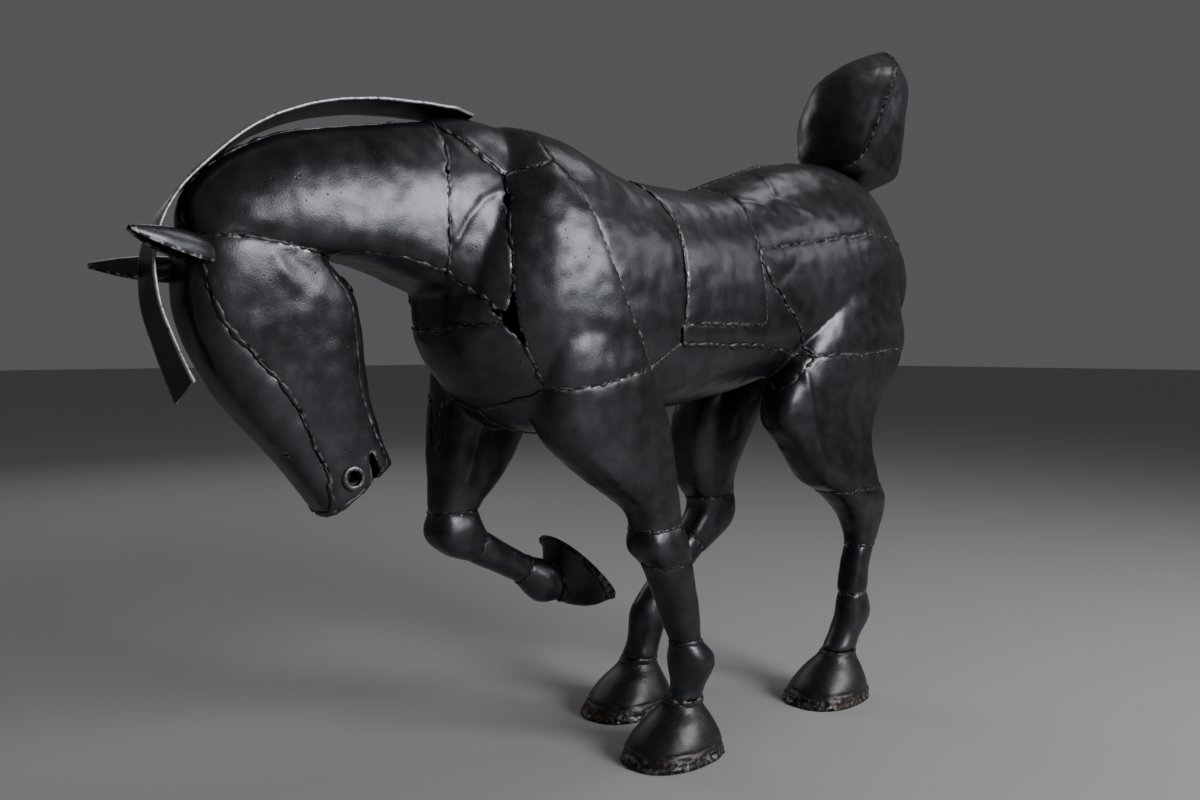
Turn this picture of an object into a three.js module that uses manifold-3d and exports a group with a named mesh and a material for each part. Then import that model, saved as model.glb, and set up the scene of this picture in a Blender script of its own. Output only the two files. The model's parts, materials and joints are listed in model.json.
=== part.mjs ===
// A prancing horse welded up from formed steel plates, standing on three hooves with one foreleg raised.
// Millimetres, +Z up. The horse faces -X and its left side is towards -Y.
import * as THREE from "three";
import Module from "manifold-3d";
import { mergeVertices } from "three/addons/utils/BufferGeometryUtils.js";

const wasm = await Module();
wasm.setup();

// ---- Driving dimensions ----
const PLATE = 3; // sheet thickness
const SEAM = 0.6; // open gap between neighbouring plates, which the weld fills
const CLEAR = 0.4; // gap between a fitted piece and the form it sits on
const STRIP_WIDTH = 50; // flat bar of the mane
const STRIP_THICK = 4;
const STRIP_ROLL = 13; // degrees, right edge lower
const RING_OUTER = 15; // radius of the nostril washer
const RING_HOLE = 8.5;
const RING_THICK = 7;
const NOSTRIL = [-507, 468];
const EAR_LENGTH = 92;
const EAR_RADIUS = 17;
const EAR_SHEET = 2.5;
const EAR_WRAP = 210; // degrees of sheet around the ear
const ORIGIN = [-25.2, 14.3, 0]; // the part's origin in the horse's own coordinates
const BODY_AROUND = 14;
const LEG_AROUND = 10;

// ---- Forms: each is a closed loft through stations ----
// at = centre, turn = direction of the section's top in degrees (90 is up, 180 is forward),
// wide = half width across, top/bottom = reach from the centre, square = 2 for an ellipse, more for a box,
// under = the same for the lower half.
const TRUNK = [
  { at: [-378, 0, 672], turn: 90, wide: 50, top: 70, bottom: 60, square: 2 },
  { at: [-345, 0, 682], turn: 90, wide: 98, top: 150, bottom: 112, square: 2.1 },
  { at: [-275, 0, 690], turn: 90, wide: 128, top: 222, bottom: 170, square: 2.2 },
  { at: [-195, 0, 690], turn: 90, wide: 142, top: 222, bottom: 188, square: 2.3 },
  { at: [-100, 0, 692], turn: 90, wide: 142, top: 186, bottom: 182, square: 2.3 },
  { at: [0, 0, 690], turn: 90, wide: 140, top: 177, bottom: 168, square: 2.3 },
  { at: [100, 0, 695], turn: 90, wide: 140, top: 174, bottom: 160, square: 2.3 },
  { at: [200, 0, 715], turn: 90, wide: 134, top: 186, bottom: 165, square: 2.3 },
  { at: [300, 0, 735], turn: 90, wide: 134, top: 200, bottom: 160, square: 2.2 },
  { at: [400, 0, 745], turn: 90, wide: 138, top: 206, bottom: 150, square: 2.1 },
  { at: [480, 0, 750], turn: 90, wide: 140, top: 204, bottom: 140, square: 1.9, under: 2.3 },
  { at: [560, 0, 750], turn: 90, wide: 128, top: 190, bottom: 130, square: 1.7, under: 2.2 },
  { at: [612, 0, 745], turn: 90, wide: 104, top: 140, bottom: 112, square: 1.6, under: 2.1 },
  { at: [640, 0, 738], turn: 90, wide: 66, top: 88, bottom: 72, square: 1.8, under: 2 },
];
const NECK = [
  { at: [-240, 0, 780], turn: 88, wide: 92, top: 125, bottom: 112, square: 2.2, under: 2.6 },
  { at: [-320, 0, 796], turn: 92, wide: 86, top: 122, bottom: 128, square: 2.3, under: 3 },
  { at: [-400, 0, 806], turn: 95, wide: 75, top: 98, bottom: 112, square: 2.5, under: 4 },
  { at: [-480, 0, 808], turn: 98, wide: 67, top: 80, bottom: 88, square: 2.6, under: 4 },
  { at: [-550, 0, 798], turn: 108, wide: 62, top: 72, bottom: 74, square: 2.6, under: 4 },
  { at: [-600, 0, 778], turn: 130, wide: 58, top: 68, bottom: 70, square: 2.5, under: 4 },
  { at: [-622, 0, 752], turn: 158, wide: 54, top: 70, bottom: 72, square: 2.5, under: 4 },
  { at: [-616, 0, 712], turn: 180, wide: 46, top: 66, bottom: 60, square: 3 },
];
const HEAD = [
  { at: [-622, 0, 765], turn: 180, wide: 49, top: 52, bottom: 66, square: 3 },
  { at: [-616, 0, 722], turn: 184, wide: 52, top: 76, bottom: 84, square: 3.6 },
  { at: [-600, 0, 672], turn: 190, wide: 51, top: 92, bottom: 106, square: 4 },
  { at: [-578, 0, 622], turn: 198, wide: 48, top: 92, bottom: 98, square: 4 },
  { at: [-557, 0, 575], turn: 204, wide: 44, top: 80, bottom: 84, square: 4 },
  { at: [-534, 0, 528], turn: 207, wide: 39, top: 63, bottom: 70, square: 4 },
  { at: [-510, 0, 482], turn: 210, wide: 36, top: 54, bottom: 62, square: 4 },
  { at: [-488, 0, 447], turn: 215, wide: 34, top: 50, bottom: 58, square: 4 },
];
const LEFT_FORE = [
  { at: [-190, -88, 640], turn: 180, wide: 50, top: 80, bottom: 85, square: 2.4 },
  { at: [-180, -92, 580], turn: 180, wide: 50, top: 90, bottom: 98, square: 2.5 },
  { at: [-144, -90, 500], turn: 180, wide: 46, top: 105, bottom: 105, square: 2.6 },
  { at: [-88, -87, 430], turn: 180, wide: 40, top: 68, bottom: 68, square: 2.6 },
  { at: [-46, -85, 380], turn: 180, wide: 30, top: 40, bottom: 40, square: 2.5 },
  { at: [-36, -85, 330], turn: 180, wide: 36, top: 46, bottom: 46, square: 2.6 },
  { at: [-12, -85, 290], turn: 180, wide: 29, top: 36, bottom: 36, square: 2.5 },
  { at: [16, -83, 213], turn: 180, wide: 24, top: 29, bottom: 29, square: 2.3 },
  { at: [28, -82, 177], turn: 180, wide: 23, top: 27, bottom: 27, square: 2.2 },
  { at: [42, -80, 143], turn: 180, wide: 36, top: 38, bottom: 38, square: 2 },
  { at: [38, -78, 103], turn: 180, wide: 25, top: 28, bottom: 28, square: 2 },
  { at: [30, -76, 85], turn: 180, wide: 27, top: 33, bottom: 31, square: 2 },
];
const LEFT_HIND = [
  { at: [455, -80, 690], turn: 180, wide: 50, top: 120, bottom: 120, square: 2.3 },
  { at: [440, -84, 615], turn: 180, wide: 55, top: 170, bottom: 150, square: 2.4 },
  { at: [385, -90, 515], turn: 180, wide: 60, top: 160, bottom: 130, square: 2.6 },
  { at: [383, -95, 458], turn: 180, wide: 56, top: 115, bottom: 110, square: 2.6 },
  { at: [410, -97, 400], turn: 180, wide: 45, top: 84, bottom: 92, square: 2.5 },
  { at: [462, -100, 345], turn: 180, wide: 34, top: 55, bottom: 68, square: 2.3 },
  { at: [480, -100, 290], turn: 180, wide: 25, top: 32, bottom: 34, square: 2.3 },
  { at: [464, -100, 237], turn: 180, wide: 22, top: 26, bottom: 26, square: 2.3 },
  { at: [455, -100, 190], turn: 180, wide: 22, top: 26, bottom: 28, square: 2.3 },
  { at: [452, -100, 144], turn: 180, wide: 27, top: 30, bottom: 42, square: 2.1 },
  { at: [432, -98, 108], turn: 180, wide: 25, top: 30, bottom: 32, square: 2 },
  { at: [420, -96, 85], turn: 180, wide: 27, top: 36, bottom: 34, square: 2 },
];
const RIGHT_HIND = [
  { at: [420, 80, 690], turn: 180, wide: 50, top: 120, bottom: 130, square: 2.3 },
  { at: [390, 84, 610], turn: 180, wide: 55, top: 125, bottom: 125, square: 2.4 },
  { at: [320, 92, 510], turn: 180, wide: 55, top: 100, bottom: 82, square: 2.5 },
  { at: [290, 98, 440], turn: 180, wide: 46, top: 78, bottom: 66, square: 2.5 },
  { at: [285, 102, 385], turn: 180, wide: 38, top: 58, bottom: 56, square: 2.4 },
  { at: [298, 105, 325], turn: 158, wide: 32, top: 44, bottom: 52, square: 2.3 },
  { at: [258, 106, 282], turn: 134, wide: 26, top: 30, bottom: 32, square: 2.3 },
  { at: [212, 108, 240], turn: 132, wide: 23, top: 25, bottom: 26, square: 2.3 },
  { at: [176, 110, 200], turn: 138, wide: 23, top: 26, bottom: 27, square: 2.2 },
  { at: [148, 112, 160], turn: 156, wide: 28, top: 36, bottom: 36, square: 2 },
  { at: [136, 114, 112], turn: 172, wide: 26, top: 30, bottom: 31, square: 2 },
  { at: [126, 115, 85], turn: 180, wide: 28, top: 34, bottom: 34, square: 2 },
];
const RIGHT_FORE = [
  { at: [-235, 85, 645], turn: 180, wide: 50, top: 62, bottom: 85, square: 2.3 },
  { at: [-235, 92, 570], turn: 180, wide: 48, top: 66, bottom: 90, square: 2.4 },
  { at: [-240, 93, 500], turn: 180, wide: 44, top: 68, bottom: 80, square: 2.5 },
  { at: [-258, 92, 430], turn: 180, wide: 36, top: 50, bottom: 52, square: 2.5 },
  { at: [-276, 91, 392], turn: 182, wide: 30, top: 36, bottom: 38, square: 2.4 },
  { at: [-278, 90, 362], turn: 205, wide: 33, top: 40, bottom: 40, square: 2.3 },
  { at: [-242, 90, 335], turn: 235, wide: 26, top: 26, bottom: 26, square: 2.3 },
  { at: [-192, 90, 307], turn: 240, wide: 22, top: 21, bottom: 22, square: 2.3 },
  { at: [-150, 90, 283], turn: 242, wide: 24, top: 23, bottom: 24, square: 2.2 },
  { at: [-118, 90, 264], turn: 258, wide: 31, top: 34, bottom: 32, square: 2 },
  { at: [-90, 90, 258], turn: 285, wide: 27, top: 31, bottom: 29, square: 2 },
];
const TAIL = [
  { at: [600, 0, 924], turn: 180, wide: 30, top: 30, bottom: 30, square: 3 },
  { at: [592, 0, 945], turn: 180, wide: 72, top: 76, bottom: 76, square: 3 },
  { at: [588, 0, 975], turn: 180, wide: 84, top: 92, bottom: 92, square: 3 },
  { at: [590, 0, 1020], turn: 180, wide: 92, top: 100, bottom: 98, square: 2.6 },
  { at: [596, 0, 1072], turn: 180, wide: 96, top: 104, bottom: 104, square: 2.2 },
  { at: [618, 0, 1128], turn: 180, wide: 92, top: 98, bottom: 98, square: 1.9 },
  { at: [640, 0, 1165], turn: 180, wide: 66, top: 66, bottom: 66, square: 1.7 },
  { at: [660, 0, 1190], turn: 180, wide: 28, top: 30, bottom: 26, square: 1.7 },
  { at: [664, 0, 1197], turn: 180, wide: 6, top: 6, bottom: 6, square: 2 },
];

// ---- Hooves: solid flared cones below the pasterns ----
const HOOVES = {
  left_fore_hoof: [
    { at: [30, -76, 84.6], turn: 180, wide: 28, top: 35, bottom: 32, square: 2 },
    { at: [25, -75, 62], turn: 180, wide: 43, top: 56, bottom: 48, square: 2.1 },
    { at: [17, -73, 28], turn: 180, wide: 57, top: 75, bottom: 70, square: 2.2 },
    { at: [12, -72, 0], turn: 180, wide: 64, top: 88, bottom: 86, square: 2.3 },
  ],
  left_hind_hoof: [
    { at: [420, -96, 84.6], turn: 180, wide: 28, top: 38, bottom: 35, square: 2 },
    { at: [415, -92, 62], turn: 180, wide: 42, top: 54, bottom: 47, square: 2.1 },
    { at: [406, -88, 28], turn: 180, wide: 56, top: 74, bottom: 66, square: 2.2 },
    { at: [400, -85, 0], turn: 180, wide: 64, top: 88, bottom: 82, square: 2.3 },
  ],
  right_hind_hoof: [
    { at: [126, 115, 84.6], turn: 180, wide: 29, top: 36, bottom: 35, square: 2 },
    { at: [119, 115, 62], turn: 180, wide: 42, top: 54, bottom: 48, square: 2.1 },
    { at: [108, 115, 28], turn: 180, wide: 56, top: 76, bottom: 68, square: 2.2 },
    { at: [100, 115, 0], turn: 180, wide: 64, top: 90, bottom: 84, square: 2.3 },
  ],
  right_fore_hoof: [
    { at: [-89.5, 90, 258.2], turn: 285, wide: 28, top: 33, bottom: 30, square: 2 },
    { at: [-78, 90, 261], turn: 294, wide: 36, top: 52, bottom: 44, square: 2.1 },
    { at: [-56, 90, 266], turn: 307, wide: 45, top: 76, bottom: 66, square: 2.2 },
    { at: [-38, 90, 272], turn: 317, wide: 52, top: 88, bottom: 86, square: 2.3 },
  ],
};

// ---- Seams: where the plates meet, as side-view [x, z] lines ----
const POLL = [[-760, 806], [-697, 794], [-685, 757], [-681, 739]];
const BROW = [[-681, 739], [-640, 741], [-590, 737], [-549, 728]];
const FACE_EDGE = [[-681, 739], [-679, 708], [-675, 682], [-668, 662], [-652, 638], [-624, 609], [-595, 581],
  [-576, 552], [-565, 528], [-552, 500], [-534, 470], [-532, 423]];
const JAW_EDGE = [[-549, 728], [-526, 697], [-509, 674], [-501, 619], [-495, 572], [-482, 536], [-469, 511],
  [-454, 484]];
const THROAT_EDGE = [[-549, 728], [-494, 735], [-445, 731], [-390, 716], [-347, 682], [-321, 652]];
const NECK_END = [[-390, 716], [-395, 790], [-384, 868], [-384, 905], [-384, 980]];
const SHOULDER_FRONT = [[-384, 905], [-345, 868], [-312, 840], [-319, 745], [-321, 652]];
const WITHERS_FOOT = [[-312, 840], [-245, 858]];
const WITHERS_BACK = [[-245, 858], [-255, 905], [-262, 980]];
const SHOULDER_BACK = [[-245, 858], [-209, 803], [-189, 745], [-146, 660], [-97, 594]];
const SHOULDER_FOOT = [[-97, 594], [-130, 589], [-204, 573], [-265, 568]];
const CHEST_SIDE = [[-265, 568], [-321, 652]];
const RIB_BACK = [[-75, 980], [-60, 860], [-34, 800], [-33, 718], [-38, 655]];
const RIB_BACK_LOW = [[-38, 655], [-44, 626]];
const RIB_FOOT = [[-44, 626], [-97, 594]];
const FLANK_FOOT = [[-38, 655], [161, 657]];
const FLANK_BACK = [[161, 657], [151, 685], [136, 772], [142, 835], [118, 980]];
const CROUP_FOOT = [[136, 772], [209, 783], [302, 796], [434, 820], [560, 812], [760, 800]];
const HAUNCH_FRONT = [[136, 772], [165, 727], [210, 688], [268, 648], [300, 606]];
const HAUNCH_FOOT = [[300, 606], [423, 610], [531, 618], [760, 636]];
const BELLY_TOP = [[-44, 626], [148, 627], [300, 606]];
const BELLY_BACK = [[300, 606], [255, 560], [215, 525], [150, 480]];
const BELLY_FRONT = [[0, 480], [-30, 505], [-65, 560], [-97, 594]];
const CHEST_FOOT = [[-265, 568], [-300, 545], [-305, 480]];
const TAIL_RIDGE = [[506, 900], [513, 960], [532, 1015], [555, 1072], [596, 1130], [640, 1172], [680, 1210]];

const reversed = (line) => [...line].reverse();
const outline = (...lines) => lines.flat().filter((p, i, all) => {
  const q = all[(i + 1) % all.length];
  return p[0] !== q[0] || p[1] !== q[1];
});

// ---- Plates: name, side-view outline, and the side of the horse they are on ----
const LEFT = [-400, -SEAM / 2];
const RIGHT = [SEAM / 2, 400];
const ACROSS = [-400, 400];
const PAIRED_PLATES = {
  neck_side: outline(POLL, BROW, THROAT_EDGE.slice(0, 4), NECK_END, [[-760, 980]]),
  shoulder_front: outline(SHOULDER_FRONT, reversed(THROAT_EDGE).slice(0, 3), NECK_END.slice(0, 4)),
  shoulder_blade: outline(
    WITHERS_FOOT, SHOULDER_BACK, SHOULDER_FOOT, CHEST_SIDE, reversed(SHOULDER_FRONT).slice(0, 3),
  ),
  rib_plate: outline(
    reversed(WITHERS_BACK), SHOULDER_BACK, reversed(RIB_FOOT), reversed(RIB_BACK_LOW), reversed(RIB_BACK),
  ),
  flank_plate: outline(RIB_BACK, FLANK_FOOT, FLANK_BACK),
  belly_band: outline(
    FLANK_FOOT, FLANK_BACK.slice(0, 3), HAUNCH_FRONT, reversed(BELLY_TOP), reversed(RIB_BACK_LOW),
  ),
  croup: outline(reversed(FLANK_BACK).slice(0, 3), CROUP_FOOT, [[760, 980]]),
  haunch: outline(CROUP_FOOT, reversed(HAUNCH_FOOT), reversed(HAUNCH_FRONT)),
};
const HEAD_CHEEK = outline(BROW, JAW_EDGE, [[-474, 463]], reversed(FACE_EDGE));
const SINGLE_PLATES = {
  head_face_plate: outline(POLL, FACE_EDGE, [[-565, 400], [-760, 400]]),
  head_jaw_plate: outline(reversed(JAW_EDGE), [[-500, 690], [-400, 600], [-400, 440], [-462, 440], [-474, 463]]),
  head_muzzle_plate: [[-532, 423], [-474, 463], [-462, 440], [-520, 380], [-565, 400]],
  neck_throat_plate: outline(THROAT_EDGE, [[-440, 640], [-500, 690]]),
  withers_plate: outline(WITHERS_FOOT, WITHERS_BACK, [[-384, 980]], SHOULDER_FRONT.slice(0, 3)),
  chest_plate: outline([[-440, 640]], reversed(CHEST_SIDE), CHEST_FOOT, [[-392, 480], [-392, 597]]),
  belly_plate: outline(BELLY_TOP, BELLY_BACK, BELLY_FRONT, reversed(RIB_FOOT)),
};
const LEG_PLATES = {
  left_fore_upper: outline(CHEST_FOOT, [[-420, 470], [-420, 358], [60, 358], [60, 440]], BELLY_FRONT, SHOULDER_FOOT),
  left_fore_knee: [[-300, 358], [200, 358], [200, 302], [-300, 302]],
  left_fore_cannon: [[-300, 302], [200, 302], [200, 176], [-300, 176]],
  left_fore_fetlock: [[-300, 176], [200, 176], [200, 40], [-300, 40]],
  left_hind_upper: outline(HAUNCH_FOOT, [[760, 372], [210, 372], [150, 480]], reversed(BELLY_BACK)),
  left_hind_hock: [[210, 372], [760, 372], [760, 268], [210, 268]],
  left_hind_cannon: [[210, 268], [760, 268], [760, 182], [210, 182]],
  left_hind_fetlock: [[210, 182], [760, 182], [760, 40], [210, 40]],
  right_hind_upper: outline(HAUNCH_FOOT, [[760, 352], [190, 352], [150, 480]], reversed(BELLY_BACK)),
  right_hind_hock: [[173, 352], [420, 352], [420, 183], [325, 183]],
  right_hind_cannon: [[173, 352], [325, 183], [255, 131], [105, 300], [105, 352]],
  right_hind_fetlock: [[105, 300], [255, 131], [255, 40], [50, 40], [50, 300]],
  right_fore_upper: outline(CHEST_FOOT, [[-420, 470], [-420, 388], [0, 388]], BELLY_FRONT, SHOULDER_FOOT),
  right_fore_knee: [[-420, 388], [-211, 388], [-298, 232], [-420, 232]],
  right_fore_cannon: [[-211, 388], [-94, 388], [-181, 232], [-298, 232]],
  right_fore_fetlock: [[-94, 388], [-40, 388], [-40, 180], [-181, 180], [-181, 232]],
};
const MOUTH = [[-478, 500], [-467, 470], [-452, 430], [-468, 430], [-481, 465]];

// ---- The mane: a flat bar standing off the crest and hanging free as a forelock ----
const MANE_LINE = [
  [-312, 0, 923], [-362, 0, 922], [-415, 0, 920], [-484, 0, 912], [-549, 0, 894], [-609, 0, 864],
  [-666, 0, 815], [-703, 0, 771], [-722, 0, 724], [-721, 0, 672], [-707, 0, 625], [-687, 0, 573],
];
const EARS = {
  ear_left: { root: [-678, -36, 722], tip: [-770, -66, 741] },
  ear_right: { root: [-678, 38, 706], tip: [-764, 66, 709] },
};

// One point of a loft's section, turned in the horse's side plane.
function sectionPoint(centre, size, shape, angle) {
  const [c, s] = [Math.cos(angle), Math.sin(angle)];
  const power = 2 / (s > 0 ? shape.y : shape.z);
  const across = Math.sign(c) * Math.abs(c) ** power * size.x;
  const reach = Math.sign(s) * Math.abs(s) ** power * (s > 0 ? size.y : size.z);
  const turn = THREE.MathUtils.degToRad(shape.x);
  return new THREE.Vector3(
    centre.x + reach * Math.cos(turn),
    centre.y + across,
    centre.z + reach * Math.sin(turn),
  );
}

// A closed form through its stations: a cylinder whose rings are moved onto the sections.
// inset makes it thinner all round, and startBack/endBack move its two end faces along its length.
function loft(stations, around, inset = 0, startBack = 0, endBack = 0) {
  const last = stations.length - 1;
  const centres = stations.map((s) => new THREE.Vector3(...s.at));
  const first = centres[0].clone().sub(centres[1]).setLength(startBack);
  const final = centres[last].clone().sub(centres[last - 1]).setLength(endBack);
  centres[0].sub(first);
  centres[last].sub(final);
  const form = new THREE.CylinderGeometry(1, 1, 1, around, last);
  const place = form.attributes.position;
  for (let i = 0; i < place.count; i++) {
    const [x, y, z] = [place.getX(i), place.getY(i), place.getZ(i)];
    const k = Math.round((0.5 - y) * last);
    const s = stations[k];
    const size = new THREE.Vector3(s.wide - inset, s.top - inset, s.bottom - inset);
    const shape = new THREE.Vector3(s.turn, s.square, s.under ?? s.square);
    const onAxis = Math.hypot(x, z) < 0.5;
    const moved = onAxis ? centres[k] : sectionPoint(centres[k], size, shape, Math.atan2(z, x));
    place.setXYZ(i, moved.x, moved.y, moved.z);
  }
  return solid(form);
}

// A solid for joining and cutting from a closed geometry, whichever way its faces were wound.
function solid(geometry) {
  const bare = geometry.clone();
  bare.deleteAttribute("normal");
  bare.deleteAttribute("uv");
  const merged = mergeVertices(bare, 1e-3);
  const vertProperties = new Float32Array(merged.attributes.position.array);
  const triVerts = new Uint32Array(merged.index.array);
  const made = new wasm.Manifold(new wasm.Mesh({ numProp: 3, vertProperties, triVerts }));
  if (made.volume() > 0) return made;
  for (let i = 0; i < triVerts.length; i += 3) {
    [triVerts[i + 1], triVerts[i + 2]] = [triVerts[i + 2], triVerts[i + 1]];
  }
  return new wasm.Manifold(new wasm.Mesh({ numProp: 3, vertProperties, triVerts }));
}

function geometryOf(made) {
  const m = made.getMesh();
  const geometry = new THREE.BufferGeometry();
  geometry.setAttribute("position", new THREE.BufferAttribute(new Float32Array(m.vertProperties), 3));
  geometry.setIndex(new THREE.BufferAttribute(new Uint32Array(m.triVerts), 1));
  geometry.computeVertexNormals();
  return geometry;
}

// The outline moved inwards by a distance, so that neighbours keep a seam between them.
function shrink(points, distance) {
  const ring = points.map(([x, z]) => new THREE.Vector2(x, z));
  const side = THREE.ShapeUtils.isClockWise(ring) ? -1 : 1;
  return ring.map((p, i) => {
    const before = p.clone().sub(ring[(i + ring.length - 1) % ring.length]).normalize();
    const after = ring[(i + 1) % ring.length].clone().sub(p).normalize();
    const normalBefore = new THREE.Vector2(-before.y, before.x).multiplyScalar(side);
    const normalAfter = new THREE.Vector2(-after.y, after.x).multiplyScalar(side);
    const mitre = normalBefore.clone().add(normalAfter).normalize();
    return p.clone().addScaledVector(mitre, distance / Math.max(0.15, mitre.dot(normalAfter)));
  });
}

// A side-view outline carried across the horse between two widths.
function prism(points, [from, to]) {
  const cut = new THREE.ExtrudeGeometry(new THREE.Shape(points), { depth: to - from, bevelEnabled: false });
  cut.rotateX(Math.PI / 2);
  cut.translate(0, to, 0);
  return solid(cut);
}

// A flat bar along a line in the side plane, rolled about its own length and turned back near its free end.
function bar(line, width, thick, roll, steps) {
  const path = new THREE.CatmullRomCurve3(line.map((p) => new THREE.Vector3(...p)));
  const form = new THREE.BoxGeometry(1, 1, 1, steps, 1, 1);
  const place = form.attributes.position;
  for (let i = 0; i < place.count; i++) {
    const t = THREE.MathUtils.clamp(place.getX(i) + 0.5, 0, 1);
    const tilt = THREE.MathUtils.degToRad(roll * (1 - 5.5 * Math.max(0, t - 0.6)));
    const at = path.getPoint(t);
    const ahead = path.getTangent(t);
    const out = new THREE.Vector3(-ahead.z, 0, ahead.x).multiplyScalar(-1);
    const lateral = new THREE.Vector3(0, Math.cos(tilt), 0).addScaledVector(out, -Math.sin(tilt));
    const face = new THREE.Vector3(0, Math.sin(tilt), 0).addScaledVector(out, Math.cos(tilt));
    const slant = t > 0.99 ? place.getY(i) * width * 0.5 : 0;
    at.addScaledVector(lateral, place.getY(i) * width).addScaledVector(face, place.getZ(i) * thick);
    at.addScaledVector(ahead, slant);
    place.setXYZ(i, at.x, at.y, at.z);
  }
  return solid(form);
}

// An ear: sheet curled round a line from root to tip, open below.
function ear({ root, tip }) {
  const from = new THREE.Vector3(...root);
  const ahead = new THREE.Vector3(...tip).sub(from).normalize();
  const side = new THREE.Vector3(0, 0, 1).cross(ahead).normalize();
  const up = ahead.clone().cross(side);
  const form = new THREE.BoxGeometry(1, 1, 1, 7, 6, 1);
  const place = form.attributes.position;
  for (let i = 0; i < place.count; i++) {
    const t = place.getX(i) + 0.5;
    const radius = EAR_RADIUS * (1 - t ** 1.7) + 3 + 4 * Math.sin(Math.PI * t);
    const angle = Math.PI / 2 + THREE.MathUtils.degToRad(EAR_WRAP) * place.getY(i);
    const r = radius + place.getZ(i) * EAR_SHEET;
    const at = from.clone().addScaledVector(ahead, t * EAR_LENGTH);
    at.addScaledVector(side, r * 0.8 * Math.cos(angle)).addScaledVector(up, r * (Math.sin(angle) - 0.3));
    place.setXYZ(i, at.x, at.y, at.z);
  }
  return solid(form);
}

// A washer with its axis across the horse.
function washer(inner, outer, thick, y) {
  const half = thick / 2;
  const profile = [[inner, -half], [outer, -half], [outer, half - 2], [outer - 2, half], [inner, half], [inner, -half]];
  const ring = new THREE.LatheGeometry(profile.map(([r, h]) => new THREE.Vector2(r, h)), 20);
  if (y < 0) ring.rotateX(Math.PI);
  ring.translate(NOSTRIL[0], y, NOSTRIL[1]);
  return solid(ring);
}

function nostrilBore() {
  const bore = new THREE.CylinderGeometry(RING_HOLE, RING_HOLE, 200, 20);
  bore.translate(NOSTRIL[0], 0, NOSTRIL[1]);
  return solid(bore);
}

// ---- The hollow body ----
const bodyForms = [
  [TRUNK, BODY_AROUND, PLATE, PLATE], [NECK, BODY_AROUND, PLATE, PLATE], [HEAD, BODY_AROUND, PLATE, PLATE],
  [LEFT_FORE, LEG_AROUND, PLATE, -1], [LEFT_HIND, LEG_AROUND, PLATE, -1],
  [RIGHT_HIND, LEG_AROUND, PLATE, -1], [RIGHT_FORE, LEG_AROUND, PLATE, -1],
];
const joined = (parts) => parts.reduce((sum, part) => sum.add(part));
const skin = joined(bodyForms.map(([form, around]) => loft(form, around)));
const room = joined(bodyForms.map(([form, around, start, end]) => loft(form, around, PLATE, start, end)));
const clearance = joined(bodyForms.map(([form, around]) => loft(form, around, -CLEAR, -CLEAR, -CLEAR)));
const shell = skin.subtract(room).subtract(nostrilBore()).subtract(prism(shrink(MOUTH, 0), ACROSS));
const tailShell = loft(TAIL, BODY_AROUND).subtract(loft(TAIL, BODY_AROUND, PLATE, PLATE, PLATE)).subtract(clearance);

const horse = new THREE.Group();
horse.position.set(-ORIGIN[0], -ORIGIN[1], -ORIGIN[2]);

function addPiece(name, made, color = 0x17181a, roughness = 0.45) {
  const mesh = new THREE.Mesh(geometryOf(made), new THREE.MeshStandardMaterial({ color, roughness, metalness: 0.3 }));
  mesh.name = name;
  horse.add(mesh);
}

for (const [name, points] of Object.entries(PAIRED_PLATES)) {
  addPiece(`${name}_left`, shell.intersect(prism(shrink(points, SEAM / 2), LEFT)));
  addPiece(`${name}_right`, shell.intersect(prism(shrink(points, SEAM / 2), RIGHT)));
}
addPiece("head_cheek_left", shell.intersect(prism(shrink(HEAD_CHEEK, SEAM / 2), LEFT)));
addPiece("head_cheek_right", shell.intersect(prism(shrink(HEAD_CHEEK, SEAM / 2), RIGHT)));
for (const [name, points] of Object.entries(SINGLE_PLATES)) {
  addPiece(name, shell.intersect(prism(shrink(points, SEAM / 2), ACROSS)));
}
for (const [name, points] of Object.entries(LEG_PLATES)) {
  addPiece(name, shell.intersect(prism(shrink(points, SEAM / 2), name.startsWith("left") ? LEFT : RIGHT)));
}
for (const [name, stations] of Object.entries(HOOVES)) {
  addPiece(name, loft(stations, BODY_AROUND), 0x1a1918, 0.6);
}
const ahead = outline(TAIL_RIDGE, [[400, 1210], [400, 900]]);
const behind = outline(TAIL_RIDGE, [[800, 1210], [800, 900]]);
addPiece("tail_front", tailShell.intersect(prism(shrink(ahead, SEAM / 2), ACROSS)));
addPiece("tail_left", tailShell.intersect(prism(shrink(behind, SEAM / 2), LEFT)));
addPiece("tail_right", tailShell.intersect(prism(shrink(behind, SEAM / 2), RIGHT)));
addPiece("mane_strip", bar(MANE_LINE, STRIP_WIDTH, STRIP_THICK, STRIP_ROLL, 22).subtract(clearance));
for (const [name, place] of Object.entries(EARS)) addPiece(name, ear(place).subtract(clearance));
addPiece("nostril_ring_left", washer(RING_HOLE, RING_OUTER, RING_THICK, -38).subtract(clearance));
addPiece("nostril_ring_right", washer(RING_HOLE, RING_OUTER, RING_THICK, 38).subtract(clearance));

export default horse;
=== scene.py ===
"""A prancing horse welded up from hammered steel plates and painted satin black.

The forms are lofted from given stations, joined into one skin, and the skin is cut into the
same plates as the frame's nodes. Each plate is then dented, given its sheet thickness and welded
to its neighbours with a ragged bead.
"""
import json
import logging
import math
from dataclasses import dataclass, field
from enum import Enum

import bpy
import numpy as np
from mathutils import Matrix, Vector, noise
from mathutils.bvhtree import BVHTree
from mathutils.kdtree import KDTree

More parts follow.
